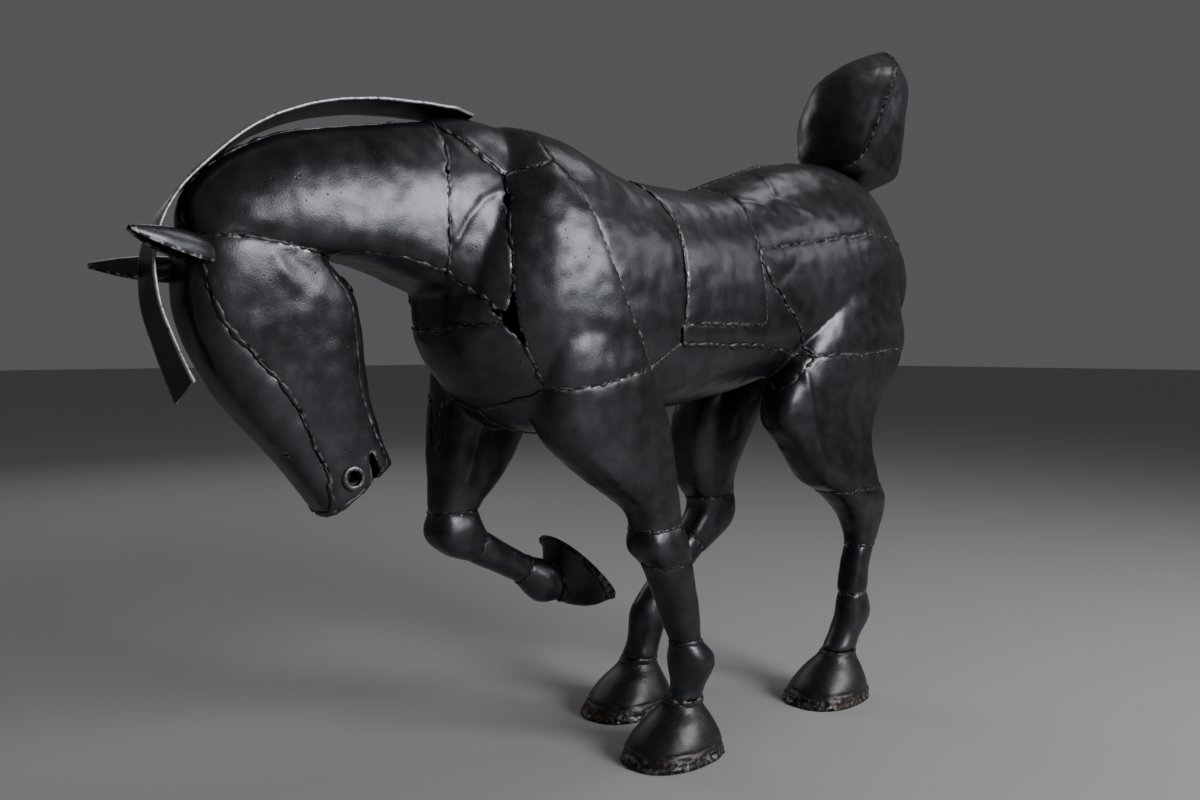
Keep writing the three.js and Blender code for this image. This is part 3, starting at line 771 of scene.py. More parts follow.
@dataclass
class Skin:
    """The welded hollow body: its forms joined, cut into the frame's plates and welded.

    voxel is the size of the small faces and relax the rounds of smoothing. The dents are heights.
    A plate sinks by sink at its seams over the width sink_width, swells by swell inside, has a lip
    beside the seam, and stands proud of its neighbours by up to half of step_height.
    """

    forms: tuple[Form, ...]
    nodes: tuple[str, ...]
    finish: bpy.types.Material
    weld_finish: bpy.types.Material
    name: str = "body"
    voxel: float = 3.85 * MM
    sheet: float = 3.0 * MM
    relax: int = 14
    dent_large: float = 1.9 * MM
    dent_middle: float = 1.15 * MM
    dent_small: float = 0.75 * MM
    sink: float = 1.6 * MM
    swell: float = 0.9 * MM
    lip: float = 1.0 * MM
    lip_at: float = 4.2 * MM
    lip_width: float = 2.2 * MM
    sink_width: float = 6.0 * MM
    fade_width: float = 30.0 * MM
    wear_and_painted_light_width: float = 5.0 * MM
    step_height: float = 0.9 * MM
    lifts: tuple[tuple[str, float], ...] = ()
    holes: tuple[Hole, ...] = ()
    creases: tuple[Crease, ...] = ()
    mesh: Mesh = field(init=False)
    owner: np.ndarray = field(init=False)

    def build(self) -> list[bpy.types.Object]:
        """Make every plate and the weld beads.

        Returns:
            The pieces.
        """
        self.mesh = self.fused()
        self.relaxed(self.relax)
        self.owner = self.claimed()
        self.pierced()
        pairs, sides = self.mesh.edges()
        inside = (sides >= 0).all(axis=1)
        across = inside & (self.owner[sides[:, 0]] != self.owner[sides[:, 1]])
        rim = pairs[~inside]
        seams = pairs[across]
        self.straightened(np.vstack([seams, rim]))
        normals = self.mesh.normals()
        away = self.seam_distance(np.unique(np.vstack([seams, rim])))
        owned = [k for k in range(len(self.nodes)) if (self.owner == k).any()]
        pieces = [self.plate(k, normals, away) for k in owned]
        bead = WeldBead(self.mesh.points, normals, seams, f"{self.name}_weld_beads", self.weld_finish)
        pieces.append(bead.build())
        return pieces

    def fused(self) -> Mesh:
        """Join the forms into one skin of even small faces.

        Returns:
            The skin.
        """
        rough = Mesh.joined([form.mesh() for form in self.forms]).object("rough")
        change = rough.modifiers.new("fuse", "REMESH")
        change.mode = "VOXEL"
        change.voxel_size = self.voxel
        result = bpy.data.meshes.new_from_object(rough.evaluated_get(bpy.context.evaluated_depsgraph_get()))
        points = np.empty(len(result.vertices) * 3)
        result.vertices.foreach_get("co", points)
        corners = np.empty(len(result.loops), dtype=np.int64)
        result.loops.foreach_get("vertex_index", corners)
        bpy.data.meshes.remove(result)
        bpy.data.objects.remove(rough)
        return Mesh(points.reshape(-1, 3), corners.reshape(-1, 4))

    def relaxed(self, rounds: int) -> None:
        """Smooth the skin without shrinking it: each round draws it in and lets it out again.

        Args:
            rounds: how many rounds.
        """
        pairs, _ = self.mesh.edges()
        points = self.mesh.points
        valence = np.maximum(np.bincount(pairs.ravel(), minlength=len(points)), 1)[:, None]
        for turn in range(2 * rounds):
            pull = 0.55 if turn % 2 == 0 else -0.57
            points = points + pull * (neighbour_sums(pairs, points) / valence - points)
        self.mesh.points = points

    def claimed(self) -> np.ndarray:
        """Give each small face to the plate of the frame that it lies on.

        Returns:
            The plate's number for each face.
        """
        points, faces, owners = [], [], []
        for k, node in enumerate(self.nodes):
            mesh = bpy.data.objects[node].data
            start = len(points)
            points.extend(v.co for v in mesh.vertices)
            faces.extend([start + i for i in p.vertices] for p in mesh.polygons)
            owners.extend([k] * len(mesh.polygons))
        tree = BVHTree.FromPolygons(points, faces)
        centres = self.mesh.points[self.mesh.faces].mean(axis=1)
        found = [tree.find_nearest(c)[2] for c in centres.tolist()]
        owner = np.array(owners)[found]
        _, sides = self.mesh.edges()
        sides = sides[(sides >= 0).all(axis=1)]
        for _ in range(6):
            votes = np.zeros((len(owner), len(self.nodes)), dtype=np.int16)
            np.add.at(votes, (sides[:, 0], owner[sides[:, 1]]), 1)
            np.add.at(votes, (sides[:, 1], owner[sides[:, 0]]), 1)
            votes[np.arange(len(owner)), owner] += 1
            best = votes.argmax(axis=1)
            owner = np.where(votes.max(axis=1) >= 3, best, owner)
        return owner

    def pierced(self) -> None:
        """Open the holes through the skin."""
        centres = (self.mesh.points[self.mesh.faces].mean(axis=1) + ORIGIN) / MM
        keep = np.ones(len(centres), dtype=bool)
        for hole in self.holes:
            keep &= ~hole.covers(centres)
        self.mesh.faces = self.mesh.faces[keep]
        self.owner = self.owner[keep]

    def straightened(self, seams: np.ndarray) -> None:
        """Draw the stepped borders between plates into flowing lines, and the skin after them.

        Args:
            seams: the edges that the borders run along.
        """
        points = self.mesh.points
        on = np.bincount(seams.ravel(), minlength=len(points)) > 0
        pairs, _ = self.mesh.edges()
        for links, moving, rounds in ((seams, on, 16), (pairs, ~on, 6)):
            valence = np.maximum(np.bincount(links.ravel(), minlength=len(points)), 1)[:, None]
            for _ in range(rounds):
                move = 0.5 * (neighbour_sums(links, points) / valence - points)
                points[moving] += move[moving]
        self.mesh.points = points

    def seam_distance(self, border: np.ndarray) -> np.ndarray:
        """Measure how far each point is from the nearest plate edge.

        Args:
            border: the numbers of the points on plate edges.

        Returns:
            The distances, in metres.
        """
        tree = KDTree(len(border))
        for k, p in enumerate(self.mesh.points[border].tolist()):
            tree.insert(p, k)
        tree.balance()
        return np.array([tree.find(p)[2] for p in self.mesh.points.tolist()])

    def plate(self, k: int, normals: np.ndarray, away: np.ndarray) -> bpy.types.Object:
        """Cut out, dent and thicken one plate.

        Args:
            k: the plate's number.
            normals: the skin's normals.
            away: each point's distance from the nearest plate edge.

        Returns:
            The plate's object.
        """
        faces = self.mesh.faces[self.owner == k]
        used, local = np.unique(faces, return_inverse=True)
        local = local.reshape(faces.shape)
        out, far = normals[used], away[used]
        seed = 11.3 * (k + 1)
        points = self.mesh.points[used]
        points = points + out * self.relief(k, points, far, seed)[:, None]
        directed = directed_edges(local)
        key = directed[:, 0] * len(used) + directed[:, 1]
        twin = directed[:, 1] * len(used) + directed[:, 0]
        rim = directed[~np.isin(key, twin)]
        self.fray(points, local, np.unique(rim), seed)
        inner = points - out * self.sheet
        n = len(points)
        walls = np.stack([rim[:, 1], rim[:, 0], rim[:, 0] + n, rim[:, 1] + n], 1)
        solid = Mesh(np.vstack([points, inner]), np.vstack([local, local[:, ::-1] + n, walls]))
        # the edge field: rubbed steel, rust, painted seam shade and painted highlight follow it
        wear_and_painted_light = np.exp(-far / self.wear_and_painted_light_width)
        piece = solid.object(f"{self.nodes[k]}_plate", np.concatenate([wear_and_painted_light, wear_and_painted_light]))
        dress(piece, self.finish)
        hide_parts(self.nodes[k])
        return piece

    def relief(self, k: int, points: np.ndarray, far: np.ndarray, seed: float) -> np.ndarray:
        """Hammer one plate: dents of three sizes, sunk seams, curled lips and beaten creases.

        Args:
            k: the plate's number.
            points: the plate's points.
            far: each point's distance from the nearest plate edge.
            seed: the plate's own shift of the dents.

        Returns:
            The height of each point over the smooth skin, in metres.
        """
        proud = np.random.default_rng(SEED + k).uniform(-0.5, 0.5) * self.step_height
        proud += next((h for start, h in self.lifts if self.nodes[k].startswith(start)), 0.0) * MM
        fade = np.clip(far / self.fade_width, 0, 1)
        height = proud - self.sink * np.exp(-far / self.sink_width) + self.swell * fade
        height += self.dent_large * lumps(points, 85 * MM, seed) * (0.4 + 0.6 * fade)
        height += self.dent_middle * lumps(points, 42 * MM, seed + 40)
        height += self.dent_small * lumps(points, 21 * MM, seed)
        curled = np.clip(0.35 + 1.5 * lumps(points, 13 * MM, seed + 80), 0, 1.3)
        height += self.lip * np.exp(-((far - self.lip_at) / self.lip_width) ** 2) * curled
        for crease in self.creases:
            height += crease.height(points)
        return height

    def fray(self, points: np.ndarray, faces: np.ndarray, edge: np.ndarray, seed: float) -> None:
        """Draw a plate's edge back unevenly, as a torch cuts it.

        Args:
            points: the plate's points, which are moved.
            faces: the plate's faces.
            edge: the numbers of the points on its edge.
            seed: the plate's own shift of the pattern.
        """
        pull = np.zeros_like(points)
        for i in range(4):
            a, b = faces[:, i], faces[:, (i + 2) % 4]
            for axis in range(3):
                pull[:, axis] += np.bincount(a, points[b, axis] - points[a, axis], len(points))
        pull /= np.maximum(np.linalg.norm(pull, axis=1, keepdims=True), 1e-9)
        depth = (0.5 + 1.6 * np.maximum(lumps(points[edge], 9 * MM, seed), 0.0)) * MM
        points[edge] += pull[edge] * depth[:, None]


@dataclass
class WeldBead:
    """The ragged bead that runs along every seam.

    points and normals are the skin's, and seams the pairs of points that the bead joins.
    """

    points: np.ndarray
    normals: np.ndarray
    seams: np.ndarray
    name: str
    finish: bpy.types.Material
    radius: float = 2.4 * MM
    spacing: float = 2.2 * MM
    sides: int = 7
    # the bead's edge field, which brings a little rubbing and painted seam shade
    wear_and_painted_light: float = 0.55
    shortest: int = 4

    def build(self) -> bpy.types.Object:
        """Lay the bead along every chain of seam edges.

        Returns:
            The bead's object.
        """
        whole = Mesh.joined([self.run(chain) for chain in self.chains() if len(chain) >= self.shortest])
        piece = whole.object(self.name, np.full(len(whole.points), self.wear_and_painted_light))
        dress(piece, self.finish)
        return piece

    def chains(self) -> list[list[int]]:
        """Sort the seam edges into runs between junctions.

        Returns:
            Lists of point numbers.
        """
        links: dict[int, list[int]] = {}
        for a, b in self.seams.tolist():
            links.setdefault(a, []).append(b)
            links.setdefault(b, []).append(a)
        done: set[tuple[int, int]] = set()
        runs = []
        starts = [p for p, n in links.items() if len(n) != 2] + list(links)
        for start in starts:
            for step in links[start]:
                if (start, step) in done:
                    continue
                run = [start]
                last, here = start, step
                while True:
                    done.add((last, here))
                    done.add((here, last))
                    run.append(here)
                    onward = [n for n in links[here] if n != last and (here, n) not in done]
                    if len(links[here]) != 2 or not onward:
                        break
                    last, here = here, onward[0]
                runs.append(run)
        return runs

    def run(self, chain: list[int]) -> Mesh:
        """Lay one stretch of bead.

        Args:
            chain: the seam's points in order.

        Returns:
            A lumpy closed tube.
        """
        line = self.points[chain]
        out = self.normals[chain]
        along = np.r_[0, np.cumsum(np.linalg.norm(np.diff(line, axis=0), axis=1))]
        count = max(4, int(along[-1] / self.spacing))
        at = np.linspace(0, along[-1], count)
        place = np.stack([np.interp(at, along, line[:, axis]) for axis in range(3)], 1)
        up = np.stack([np.interp(at, along, out[:, axis]) for axis in range(3)], 1)
        ahead = np.gradient(place, axis=0)
        side = np.cross(up, ahead)
        side /= np.maximum(np.linalg.norm(side, axis=1, keepdims=True), 1e-9)
        lump = lumps(place, 10 * MM, 1.7)
        slow = lumps(place, 35 * MM, 5.1)
        sway = lumps(place, 16 * MM, 8.9)
        ripple = 0.07 * np.sin(at / (1.9 * MM) + 9 * slow)
        size = self.radius * np.clip(0.72 + 1.15 * lump + 1.15 * slow + ripple, 0.10, 1.9)
        size[[0, -1]] *= 0.5
        rise = np.clip(size - 0.5 * self.radius, -1.2 * MM, 1.0 * MM) * 0.5 - 0.8 * MM
        angle = np.arange(self.sides) / self.sides * 2 * math.pi
        ring = (place + side * (sway * 2.2 * MM)[:, None] + up * rise[:, None])[:, None]
        ring = ring + side[:, None] * (size[:, None] * np.cos(angle))[..., None] * 1.15
        ring = ring + up[:, None] * (size[:, None] * np.sin(angle))[..., None] * 0.75
        return Mesh.tube(ring, ring[0].mean(axis=0), ring[-1].mean(axis=0))


def dress(piece: bpy.types.Object, finish: bpy.types.Material) -> None:
    """Give a piece its material and fix it to the body.

    Args:
        piece: the piece.
        finish: its material.
    """
    piece.data.materials.append(finish)
    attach(piece, BODY)


# ---------------------------------------------------------------- hooves, mane, ears, nostrils


@dataclass
class Hoof:
    """One solid hoof, a flared cone with a ragged foot.

    The places named _at and _from are levels, from 0 at the leg to 1 on the sole.
    """

    node: str
    stations: tuple[Station, ...]
    finish: bpy.types.Material
    seed: float
    ragged: float = 3.2 * MM
    collar_at: float = 0.05
    groove_at: float = 0.79
    foot_from: float = 0.80
    lip_from: float = 0.93
    sole: float = 0.999

    def build(self) -> bpy.types.Object:
        """Make the hoof.

        Returns:
            The piece.
        """
        form = Form(self.stations, around=96, steps=14)
        mesh = form.mesh()
        out = mesh.normals()
        count = form.around
        rings = (len(mesh.points) - 2) // count
        level = np.r_[np.repeat(np.arange(rings) / (rings - 1), count), 0.0, 1.0]
        dents = lumps(mesh.points, 40 * MM, self.seed)
        chips = lumps(mesh.points, 11 * MM, self.seed)
        fine = lumps(mesh.points, 4 * MM, self.seed)
        foot = np.clip((level - self.foot_from) / 0.06, 0, 1)
        groove = np.exp(-((level - self.groove_at) / 0.016) ** 2) * np.clip(0.6 + chips, 0, 1.4)
        move = (1.6 * dents + 0.3 * fine - 2.4 * groove) * MM
        move += self.ragged * foot * (chips + 0.5 * fine)
        move[level > self.sole] = 0
        mesh.points = mesh.points + out * move[:, None]
        lip = (level > self.lip_from) & (level < self.sole)
        mesh.points[lip] += out[lip] * (1.4 * MM)
        collar = np.exp(-((level - self.collar_at) / 0.035) ** 2) * (0.6 + 1.6 * chips)
        mesh.points += out * (2.2 * MM * collar * (level > 1 - self.sole))[:, None]
        # the edge field: rubbing and painted seam shade at the foot and at the weld collar
        wear_and_painted_light = np.clip(foot * 0.9 + np.clip(collar, 0, 1) * 0.5, 0, 1) * 0.9
        wear_and_painted_light[-2:] = 0.1
        piece = mesh.object(f"{self.node}_shell", wear_and_painted_light)
        dress(piece, self.finish)
        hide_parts(self.node)
        return piece

    def collar(self) -> bpy.types.Object:
        """Weld the hoof to its leg.

        Returns:
            The ring of weld.
        """
        form = Form(self.stations, around=72, steps=1)
        ring = form.mesh().points[:form.around]
        out = ring - ring.mean(axis=0)
        out /= np.linalg.norm(out, axis=1, keepdims=True)
        step = np.arange(form.around)
        seams = np.stack([step, np.roll(step, -1)], 1)
        bead = WeldBead(ring, out, seams, f"{self.node}_collar", self.finish, radius=3.6 * MM)
        return bead.build()


@dataclass
class ManeBar:
    """The bent flat bar that stands off the crest and hangs free as a forelock, in millimetres.

    line has x and z, from the withers to the free end. roll tilts the bar over, in degrees.
    """

    finish: bpy.types.Material
    node: str = "mane_strip"
    width: float = 50.0
    thick: float = 4.0
    roll: float = 13.0
    line: tuple[tuple[float, float], ...] = (
        (-312, 923), (-362, 922), (-415, 920), (-484, 912), (-549, 894), (-609, 864),
        (-666, 815), (-703, 771), (-722, 724), (-721, 672), (-707, 625), (-687, 573))

    def build(self) -> bpy.types.Object:
        """Make the bar.

        Returns:
            The piece.
        """
        path = through(np.array(self.line, dtype=float), 16)
        count = len(path)
        ahead = np.gradient(path, axis=0)
        ahead /= np.linalg.norm(ahead, axis=1, keepdims=True)
        tangent = np.stack([ahead[:, 0], np.zeros(count), ahead[:, 1]], 1)
        out = np.stack([ahead[:, 1], np.zeros(count), -ahead[:, 0]], 1)
        t = np.linspace(0, 1, count)
        tilt = np.radians(self.roll * (1 - 5.5 * np.maximum(0, t - 0.6)))[:, None]
        y = np.array([[0.0, 1.0, 0.0]])
        lateral = y * np.cos(tilt) - out * np.sin(tilt)
        face = y * np.sin(tilt) + out * np.cos(tilt)
        middle = np.stack([path[:, 0], np.zeros(count), path[:, 1]], 1)
        half, thin, round_off = self.width / 2, self.thick / 2, 1.0
        upper = [(-half, thin - round_off), (-half + round_off, thin)]
        upper += [(half * k / 4, thin) for k in range(-3, 4)]
        upper += [(half - round_off, thin), (half, thin - round_off)]
        section = upper + [(u, -v) for u, v in reversed(upper)]
        rings, wear_and_painted_light = [], []
        for i in range(count):
            nick = 0.45 * noise.noise(Vector((i * 0.35, 3.1, 0.0)))
            for u, v in section:
                narrow = 1 - 0.45 * max(0.0, (0.06 - t[i]) / 0.06)
                edge = abs(u) > half - 2
                slant = u * 0.5 if t[i] > 0.985 else 0.0
                reach = u * narrow + (nick * math.copysign(1, u) if edge else 0.0)
                wave = 0.7 * noise.noise(Vector((i * 0.12, u * 0.03, 7.0)))
                rings.append(middle[i] + lateral[i] * reach + face[i] * (v + wave) + tangent[i] * slant)
                # the edge field: the bar's edges get painted seam shade and rubbed bare steel
                wear_and_painted_light.append(1.0 if edge else 0.15)
        rings = np.array(rings).reshape(count, len(section), 3) * MM - ORIGIN
        mesh = Mesh.tube(rings, rings[0].mean(axis=0), rings[-1].mean(axis=0))
        piece = mesh.object("mane_bar", np.array(wear_and_painted_light + [0.5, 0.5]))
        dress(piece, self.finish)
        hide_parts(self.node)
        return piece


@dataclass
class Ear:
    """One ear: sheet curled round a line from root to tip, open below, in millimetres.

    wrap is how far round the sheet is curled, in degrees.
    """

    node: str
    root: tuple[float, float, float]
    tip: tuple[float, float, float]
    finish: bpy.types.Material
    length: float = 98.0
    radius: float = 17.0
    sheet: float = 2.5
    wrap: float = 210.0

    def build(self) -> bpy.types.Object:
        """Make the ear.

        Returns:
            The piece.
        """
        root = np.array(self.root, dtype=float)
        ahead = np.array(self.tip, dtype=float) - root
        ahead /= np.linalg.norm(ahead)
        side = np.cross([0.0, 0.0, 1.0], ahead)
        side /= np.linalg.norm(side)
        up = np.cross(ahead, side)
        rows, columns = 40, 28
        t = np.linspace(0, 1, rows)[:, None]
        v = np.linspace(-0.5, 0.5, columns)[None, :]
        radius = self.radius * (1 - t ** 1.7) + 3 + 4 * np.sin(math.pi * t)
        angle = math.pi / 2 + math.radians(self.wrap) * v
        layers = []
        for thick in (self.sheet / 2, -self.sheet / 2):
            r = radius + thick
            at = root + t[..., None] * self.length * ahead
            at = at + side * (r * 0.8 * np.cos(angle))[..., None]
            at = at + up * (r * (np.sin(angle) - 0.3))[..., None]
            layers.append(at.reshape(-1, 3))
        n = rows * columns
        index = np.arange(n).reshape(rows, columns)
        quads = np.stack([index[:-1, :-1], index[:-1, 1:], index[1:, 1:], index[1:, :-1]], -1)
        quads = quads.reshape(-1, 4)
        ring = np.concatenate([index[0, :-1], index[:-1, -1], index[-1, :0:-1], index[:0:-1, 0]])
        nxt = np.roll(ring, -1)
        rim = np.stack([nxt, ring, ring + n, nxt + n], 1)
        points = np.vstack(layers) * MM - ORIGIN
        mesh = Mesh(points, np.vstack([quads, quads[:, ::-1] + n, rim])).outward()
        wobble = lumps(mesh.points[:n], 20 * MM, 4.4)
        shift = mesh.normals()[:n] * (0.7 * MM * wobble)[:, None]
        mesh.points[:n] += shift
        mesh.points[n:] += shift
        # the edge field: the sheet's edges get painted seam shade and rubbed bare steel
        edge = np.zeros((rows, columns))
        edge[:, [0, 1, -2, -1]] = 0.9
        edge[-3:] = 0.9
        piece = mesh.object(f"{self.node}_sheet", np.tile(edge.ravel(), 2))
        dress(piece, self.finish)
        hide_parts(self.node)
        return piece


@dataclass
class Nostril:
    """A washer welded over a hole in the muzzle, with the dark sleeve behind it, in millimetres.

    side is -1 for the left and 1 for the right of the horse. inner and outer are radii.
    """

    node: str
    side: int
    finish: bpy.types.Material
    x: float = -507.0
    z: float = 468.0
    y: float = 37.5
    inner: float = 8.5
    outer: float = 15.0
    around: int = 64

    def build(self) -> bpy.types.Object:
        """Make the washer.

        Returns:
            The piece.
        """
        profile = [
            (0.2, -14.0), (self.inner + 2.0, -14.0), (self.outer + 1.5, -4.0),
            (self.outer + 0.6, -0.5), (self.outer, 1.5), (self.outer - 0.8, 2.8),
            (self.outer - 2.2, 3.5), (self.inner + 2.0, 3.6), (self.inner + 0.7, 3.0),
            (self.inner, 1.8), (self.inner, -12.0), (0.2, -12.0),
        ]
        points, wear_and_painted_light = [], []
        for i in range(self.around):
            a = i / self.around * 2 * math.pi
            for k, (r, h) in enumerate(profile):
                p = Vector((math.cos(a) * 2, math.sin(a) * 2, k * 0.4 + self.side))
                r += 0.55 * noise.noise(p * 1.3) if 1 < k < 7 else 0.0
                y = self.y + h + 0.45 * noise.noise(p + Vector((5, 0, 0)))
                points.append((self.x + r * math.cos(a), self.side * y, self.z + r * math.sin(a)))
                # the edge field: the rim gets a little painted seam shade and rubbed bare steel
                wear_and_painted_light.append(0.62 if 4 <= k <= 8 else 0.0)
        sides = len(profile)
        index = np.arange(self.around * sides).reshape(self.around, sides)
        ahead = np.roll(index, -1, axis=0)
        beside = np.roll(index, -1, axis=1)
        corner = np.roll(ahead, -1, axis=1)
        faces = np.stack([index, ahead, corner, beside], -1).reshape(-1, 4)
        mesh = Mesh(np.array(points) * MM - ORIGIN, faces).outward()
        piece = mesh.object(f"{self.node}_washer", np.array(wear_and_painted_light))
        dress(piece, self.finish)
        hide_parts(self.node)
        return piece


# ---------------------------------------------------------------- studio


@dataclass(frozen=True)
class Softbox:
    """A soft light that hangs at one point and faces another, in metres and watts."""

    name: str
    at: tuple[float, float, float]
    aim: tuple[float, float, float]
    size: tuple[float, float]
    power: float

    def build(self) -> None:
        """Hang the light."""
        data = bpy.data.lights.new(self.name, "AREA")
        data.shape = "RECTANGLE"
        data.size, data.size_y = self.size
        data.energy = self.power
        light = bpy.data.objects.new(self.name, data)
        light.location = self.at
        facing = Vector(self.aim) - Vector(self.at)
        light.rotation_euler = facing.to_track_quat("-Z", "Y").to_euler()
        bpy.context.scene.collection.objects.link(light)


SOFTBOXES = (
    Softbox("side", (0.80, -2.80, 1.70), (-0.2, -0.15, 0.80), (1.5, 1.0), 92),
    Softbox("rump", (2.4, -1.9, 1.9), (0.4, -0.1, 0.80), (0.6, 0.6), 6),
    Softbox("overhead", (1.6, -0.5, 3.1), (0.0, 0.0, 0.85), (1.0, 0.8), 13),
    Softbox("far_side", (0.3, 3.6, 2.6), (0.0, 0.0, 0.70), (2.6, 1.6), 20),
)


@dataclass
class Studio:
    """A pale floor, soft lights and the camera."""

    camera_at: tuple[float, float, float] = (-1.095, -1.095, 0.622)
    azimuth: float = -43.0
    elevation: float = 3.0
    lens: float = 30.0
    sensor: float = 36.0
    floor_half: float = 30.0
    floor_colour: Colour = (0.38, 0.38, 0.38, 1.0)
    glow_colour: Colour = (0.80, 0.81, 0.83, 1.0)
    glow: float = 0.12

    def build(self) -> None:
        """Set the stage."""
        self.floor()
        self.camera()
        self.world()
        for softbox in SOFTBOXES:
            softbox.build()

    def floor(self) -> None:
        """Lay the floor."""
        mesh = bpy.data.meshes.new("studio_floor")
        half = self.floor_half
        corners = [(-half, -half, 0), (half, -half, 0), (half, half, 0), (-half, half, 0)]
        mesh.from_pydata(corners, [], [(0, 1, 2, 3)])
        floor = bpy.data.objects.new("studio_floor", mesh)
        bpy.context.scene.collection.objects.link(floor)
        paint = {"Base Color": self.floor_colour, "Roughness": 0.75}
        mesh.materials.append(ShaderTree("pale_floor").surface(paint))

    def camera(self) -> None:
        """Place the camera."""
        data = bpy.data.cameras.new("camera")
        data.lens = self.lens
        data.sensor_width = self.sensor
        data.dof.use_dof = False
        camera = bpy.data.objects.new("camera", data)
        camera.location = Vector(self.camera_at) - Vector(ORIGIN.tolist())
        camera.rotation_euler = (math.radians(90 - self.elevation), 0.0, math.radians(self.azimuth))
        bpy.context.scene.collection.objects.link(camera)
        bpy.context.scene.camera = camera

    def world(self) -> None:
        """Give the room an even glow."""
        world = bpy.data.worlds.new("studio")
        world.use_nodes = True
        glow = world.node_tree.nodes["Background"]
        glow.inputs["Color"].default_value = self.glow_colour
        glow.inputs["Strength"].default_value = self.glow
        bpy.context.scene.world = world


# ---------------------------------------------------------------- the horse


HOOF_STATIONS = {
    "left_fore_hoof": (
        Station(30, -76, 84.6, 180, 27, 33, 31, 2), Station(27, -75, 72, 180, 33, 41, 37, 2.1),
        Station(23, -74, 55, 180, 46, 60, 52, 2.2), Station(17, -73, 28, 180, 59, 79, 73, 2.3),
        Station(12, -72, 0, 180, 64, 88, 86, 2.3)),
    "left_hind_hoof": (
        Station(420, -96, 84.6, 180, 27, 36, 34, 2), Station(417, -94, 72, 180, 33, 42, 38, 2.1),
        Station(413, -91, 55, 180, 45, 59, 51, 2.2), Station(406, -88, 28, 180, 58, 78, 69, 2.3),
        Station(400, -85, 0, 180, 64, 88, 82, 2.3)),
    "right_hind_hoof": (
        Station(126, 115, 84.6, 180, 28, 34, 34, 2), Station(123, 115, 72, 180, 33, 42, 39, 2.1),
        Station(116, 115, 55, 180, 45, 59, 52, 2.2), Station(108, 115, 28, 180, 58, 80, 71, 2.3),
        Station(100, 115, 0, 180, 64, 90, 84, 2.3)),
    "right_fore_hoof": (
        Station(-89.5, 90, 258.2, 285, 28, 33, 30, 2), Station(-78, 90, 261, 294, 36, 52, 44, 2.1),
        Station(-56, 90, 266, 307, 45, 76, 66, 2.2), Station(-38, 90, 272, 317, 52, 86, 84, 2.3)),
}
FITTED = {"mane_strip", "ear_left", "ear_right", "nostril_ring_left", "nostril_ring_right"}
TAIL_NODES = ("tail_front", "tail_left", "tail_right")
NOSTRIL_HOLE = Hole(-507, 468, 9, 9, 1, both=True)
MOUTH_SLIT = Hole(-476, 470, 5, 34, 12, both=True)
STAR_HOLE = (
    Hole(-321, 652, 7, 13, 20), Hole(-320, 674, 3.5, 18, 4), Hole(-333, 664, 3, 14, 60),
    Hole(-308, 634, 3, 16, 30),
)
RIB_CRACK = Hole(-41, 640, 3.2, 16, 8)
SEAM_GAPS = (
    Hole(-392, 838, 2.8, 9, 5), Hole(-316, 806, 2.8, 8, 3), Hole(-584, 498, 3, 3),
    Hole(-312, 812, 3, 4),
)
BODY_HOLES = (NOSTRIL_HOLE, MOUTH_SLIT, *STAR_HOLE, RIB_CRACK, *SEAM_GAPS)
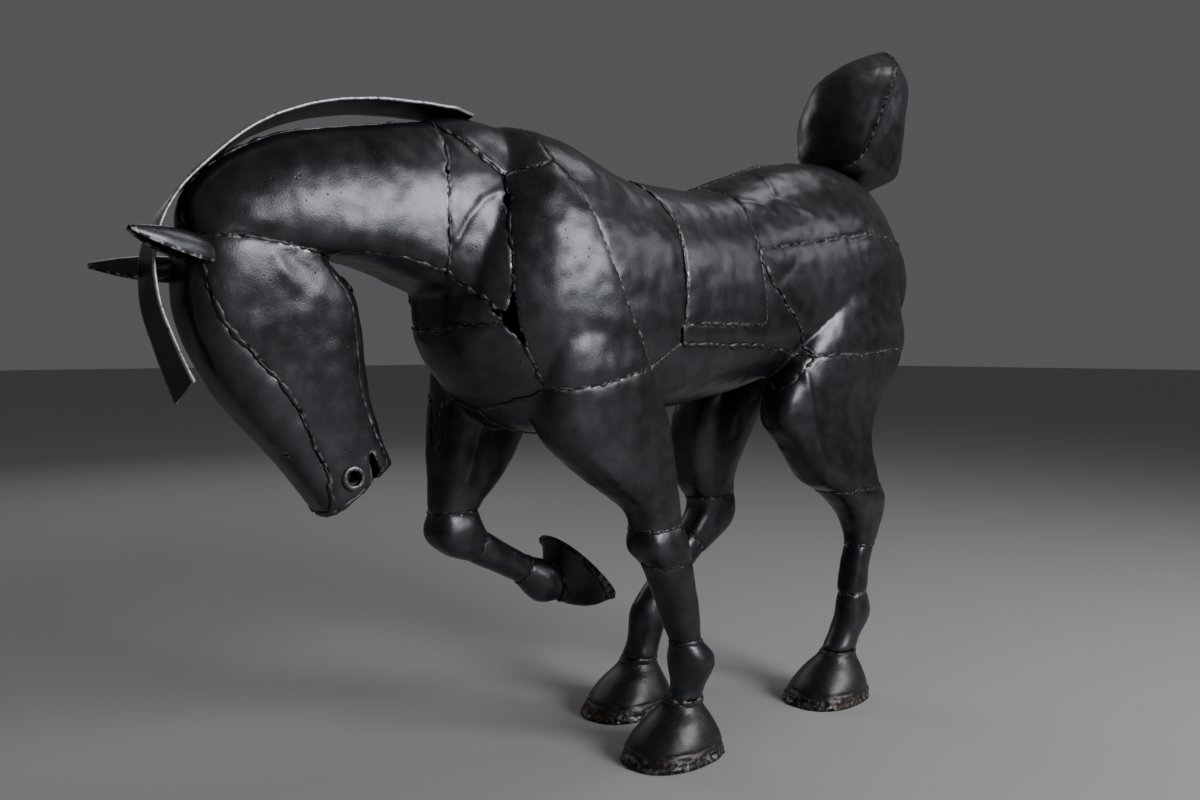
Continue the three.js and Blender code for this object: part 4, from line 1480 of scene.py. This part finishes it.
# how far each family of plates stands out from the skin, in millimetres
BODY_LIFTS = (
    ("shoulder_blade", 1.8), ("flank", 1.2), ("haunch", 1.4), ("withers", 1.8), ("head_cheek", 1.4),
    ("neck_side", 0.8), ("croup", 0.3), ("rib", -0.8), ("shoulder_front", -0.6), ("belly", -1.0),
    ("neck_throat", -1.2), ("head_jaw", -1.0), ("head_face", -0.8), ("chest", -0.6),
)
BODY_CREASES = (
    Crease(((-190, 640), (-150, 625)), 3.5, 60.0),
    Crease(((-215, 790), (-185, 720)), 2.0, 30.0),
    Crease(((210, 720), (300, 730)), 3.0, 45.0),
    Crease(((-320, 820), (-346, 806), (-367, 782), (-384, 752)), 1.8, 4.0),
    Crease(((-410, 890), (-388, 851), (-392, 809), (-398, 766), (-396, 729)), 0.7, 5.0),
    Crease(((-358, 885), (-338, 864), (-313, 845)), 2.0, 5.0),
    Crease(((147, 852), (179, 850), (211, 837)), 1.2, 4.0),
    Crease(((243, 910), (222, 862), (292, 843)), 1.6, 6.0),
    Crease(((222, 862), (214, 820)), -1.5, 8.0),
    Crease(((380, 803), (445, 816)), -1.6, 5.0),
    Crease(((272, 598), (280, 540), (302, 460), (352, 371), (388, 319)), 3.0, 8.0),
    Crease(((-80, 577), (-59, 505), (-45, 432), (-32, 388)), 2.6, 8.0),
    Crease(((-209, 480), (-167, 450), (-153, 439)), 1.6, 4.0),
    Crease(((-53, 300), (-26, 244), (-9, 181)), 2.0, 6.0),
    Crease(((-244, 583), (-253, 533), (-280, 435)), 3.0, 8.0, 1),
    Crease(((186, 728), (225, 753)), -1.8, 10.0),
    Crease(((-590, 720), (-560, 705)), -1.6, 12.0),
    Crease(((-610, 725), (-585, 690)), 1.4, 9.0),
)


def main() -> None:
    """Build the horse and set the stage."""
    Studio().build()
    paint, weld = PLATE_PAINT.build(), WELD_PAINT.build()
    hoof, bare = HOOF_PAINT.build(), BARE_EDGE.build()
    plates = tuple(sorted(
        n for n in frame["nodes"] if n not in FITTED and n not in HOOF_STATIONS and n not in TAIL_NODES))
    body_forms = tuple(Form(s) for s in (TRUNK, NECK, HEAD, LEFT_FORE, LEFT_HIND, RIGHT_HIND, RIGHT_FORE))
    body = Skin(
        body_forms, plates, paint, weld, holes=BODY_HOLES, creases=BODY_CREASES, lifts=BODY_LIFTS)
    pieces = body.build()
    tail = Skin((Form(TAIL),), TAIL_NODES, paint, weld, name="tail", relax=2, step_height=0.2 * MM,
                sink=-4.5 * MM, swell=-4.0 * MM, dent_large=3.0 * MM)
    pieces += tail.build()
    for k, (node, stations) in enumerate(HOOF_STATIONS.items()):
        made = Hoof(node, stations, hoof, 3.7 * (k + 1))
        pieces += [made.build(), made.collar()]
    pieces.append(ManeBar(bare).build())
    pieces.append(Ear("ear_left", (-670, -30, 722), (-770, -66, 741), paint).build())
    pieces.append(Ear("ear_right", (-670, 32, 706), (-764, 66, 709), paint).build())
    pieces.append(Nostril("nostril_ring_left", -1, bare).build())
    pieces.append(Nostril("nostril_ring_right", 1, bare).build())
    for piece in pieces:
        log.info("%s: %d faces", piece.name, len(piece.data.polygons))


if __name__ == "__main__":
    main()
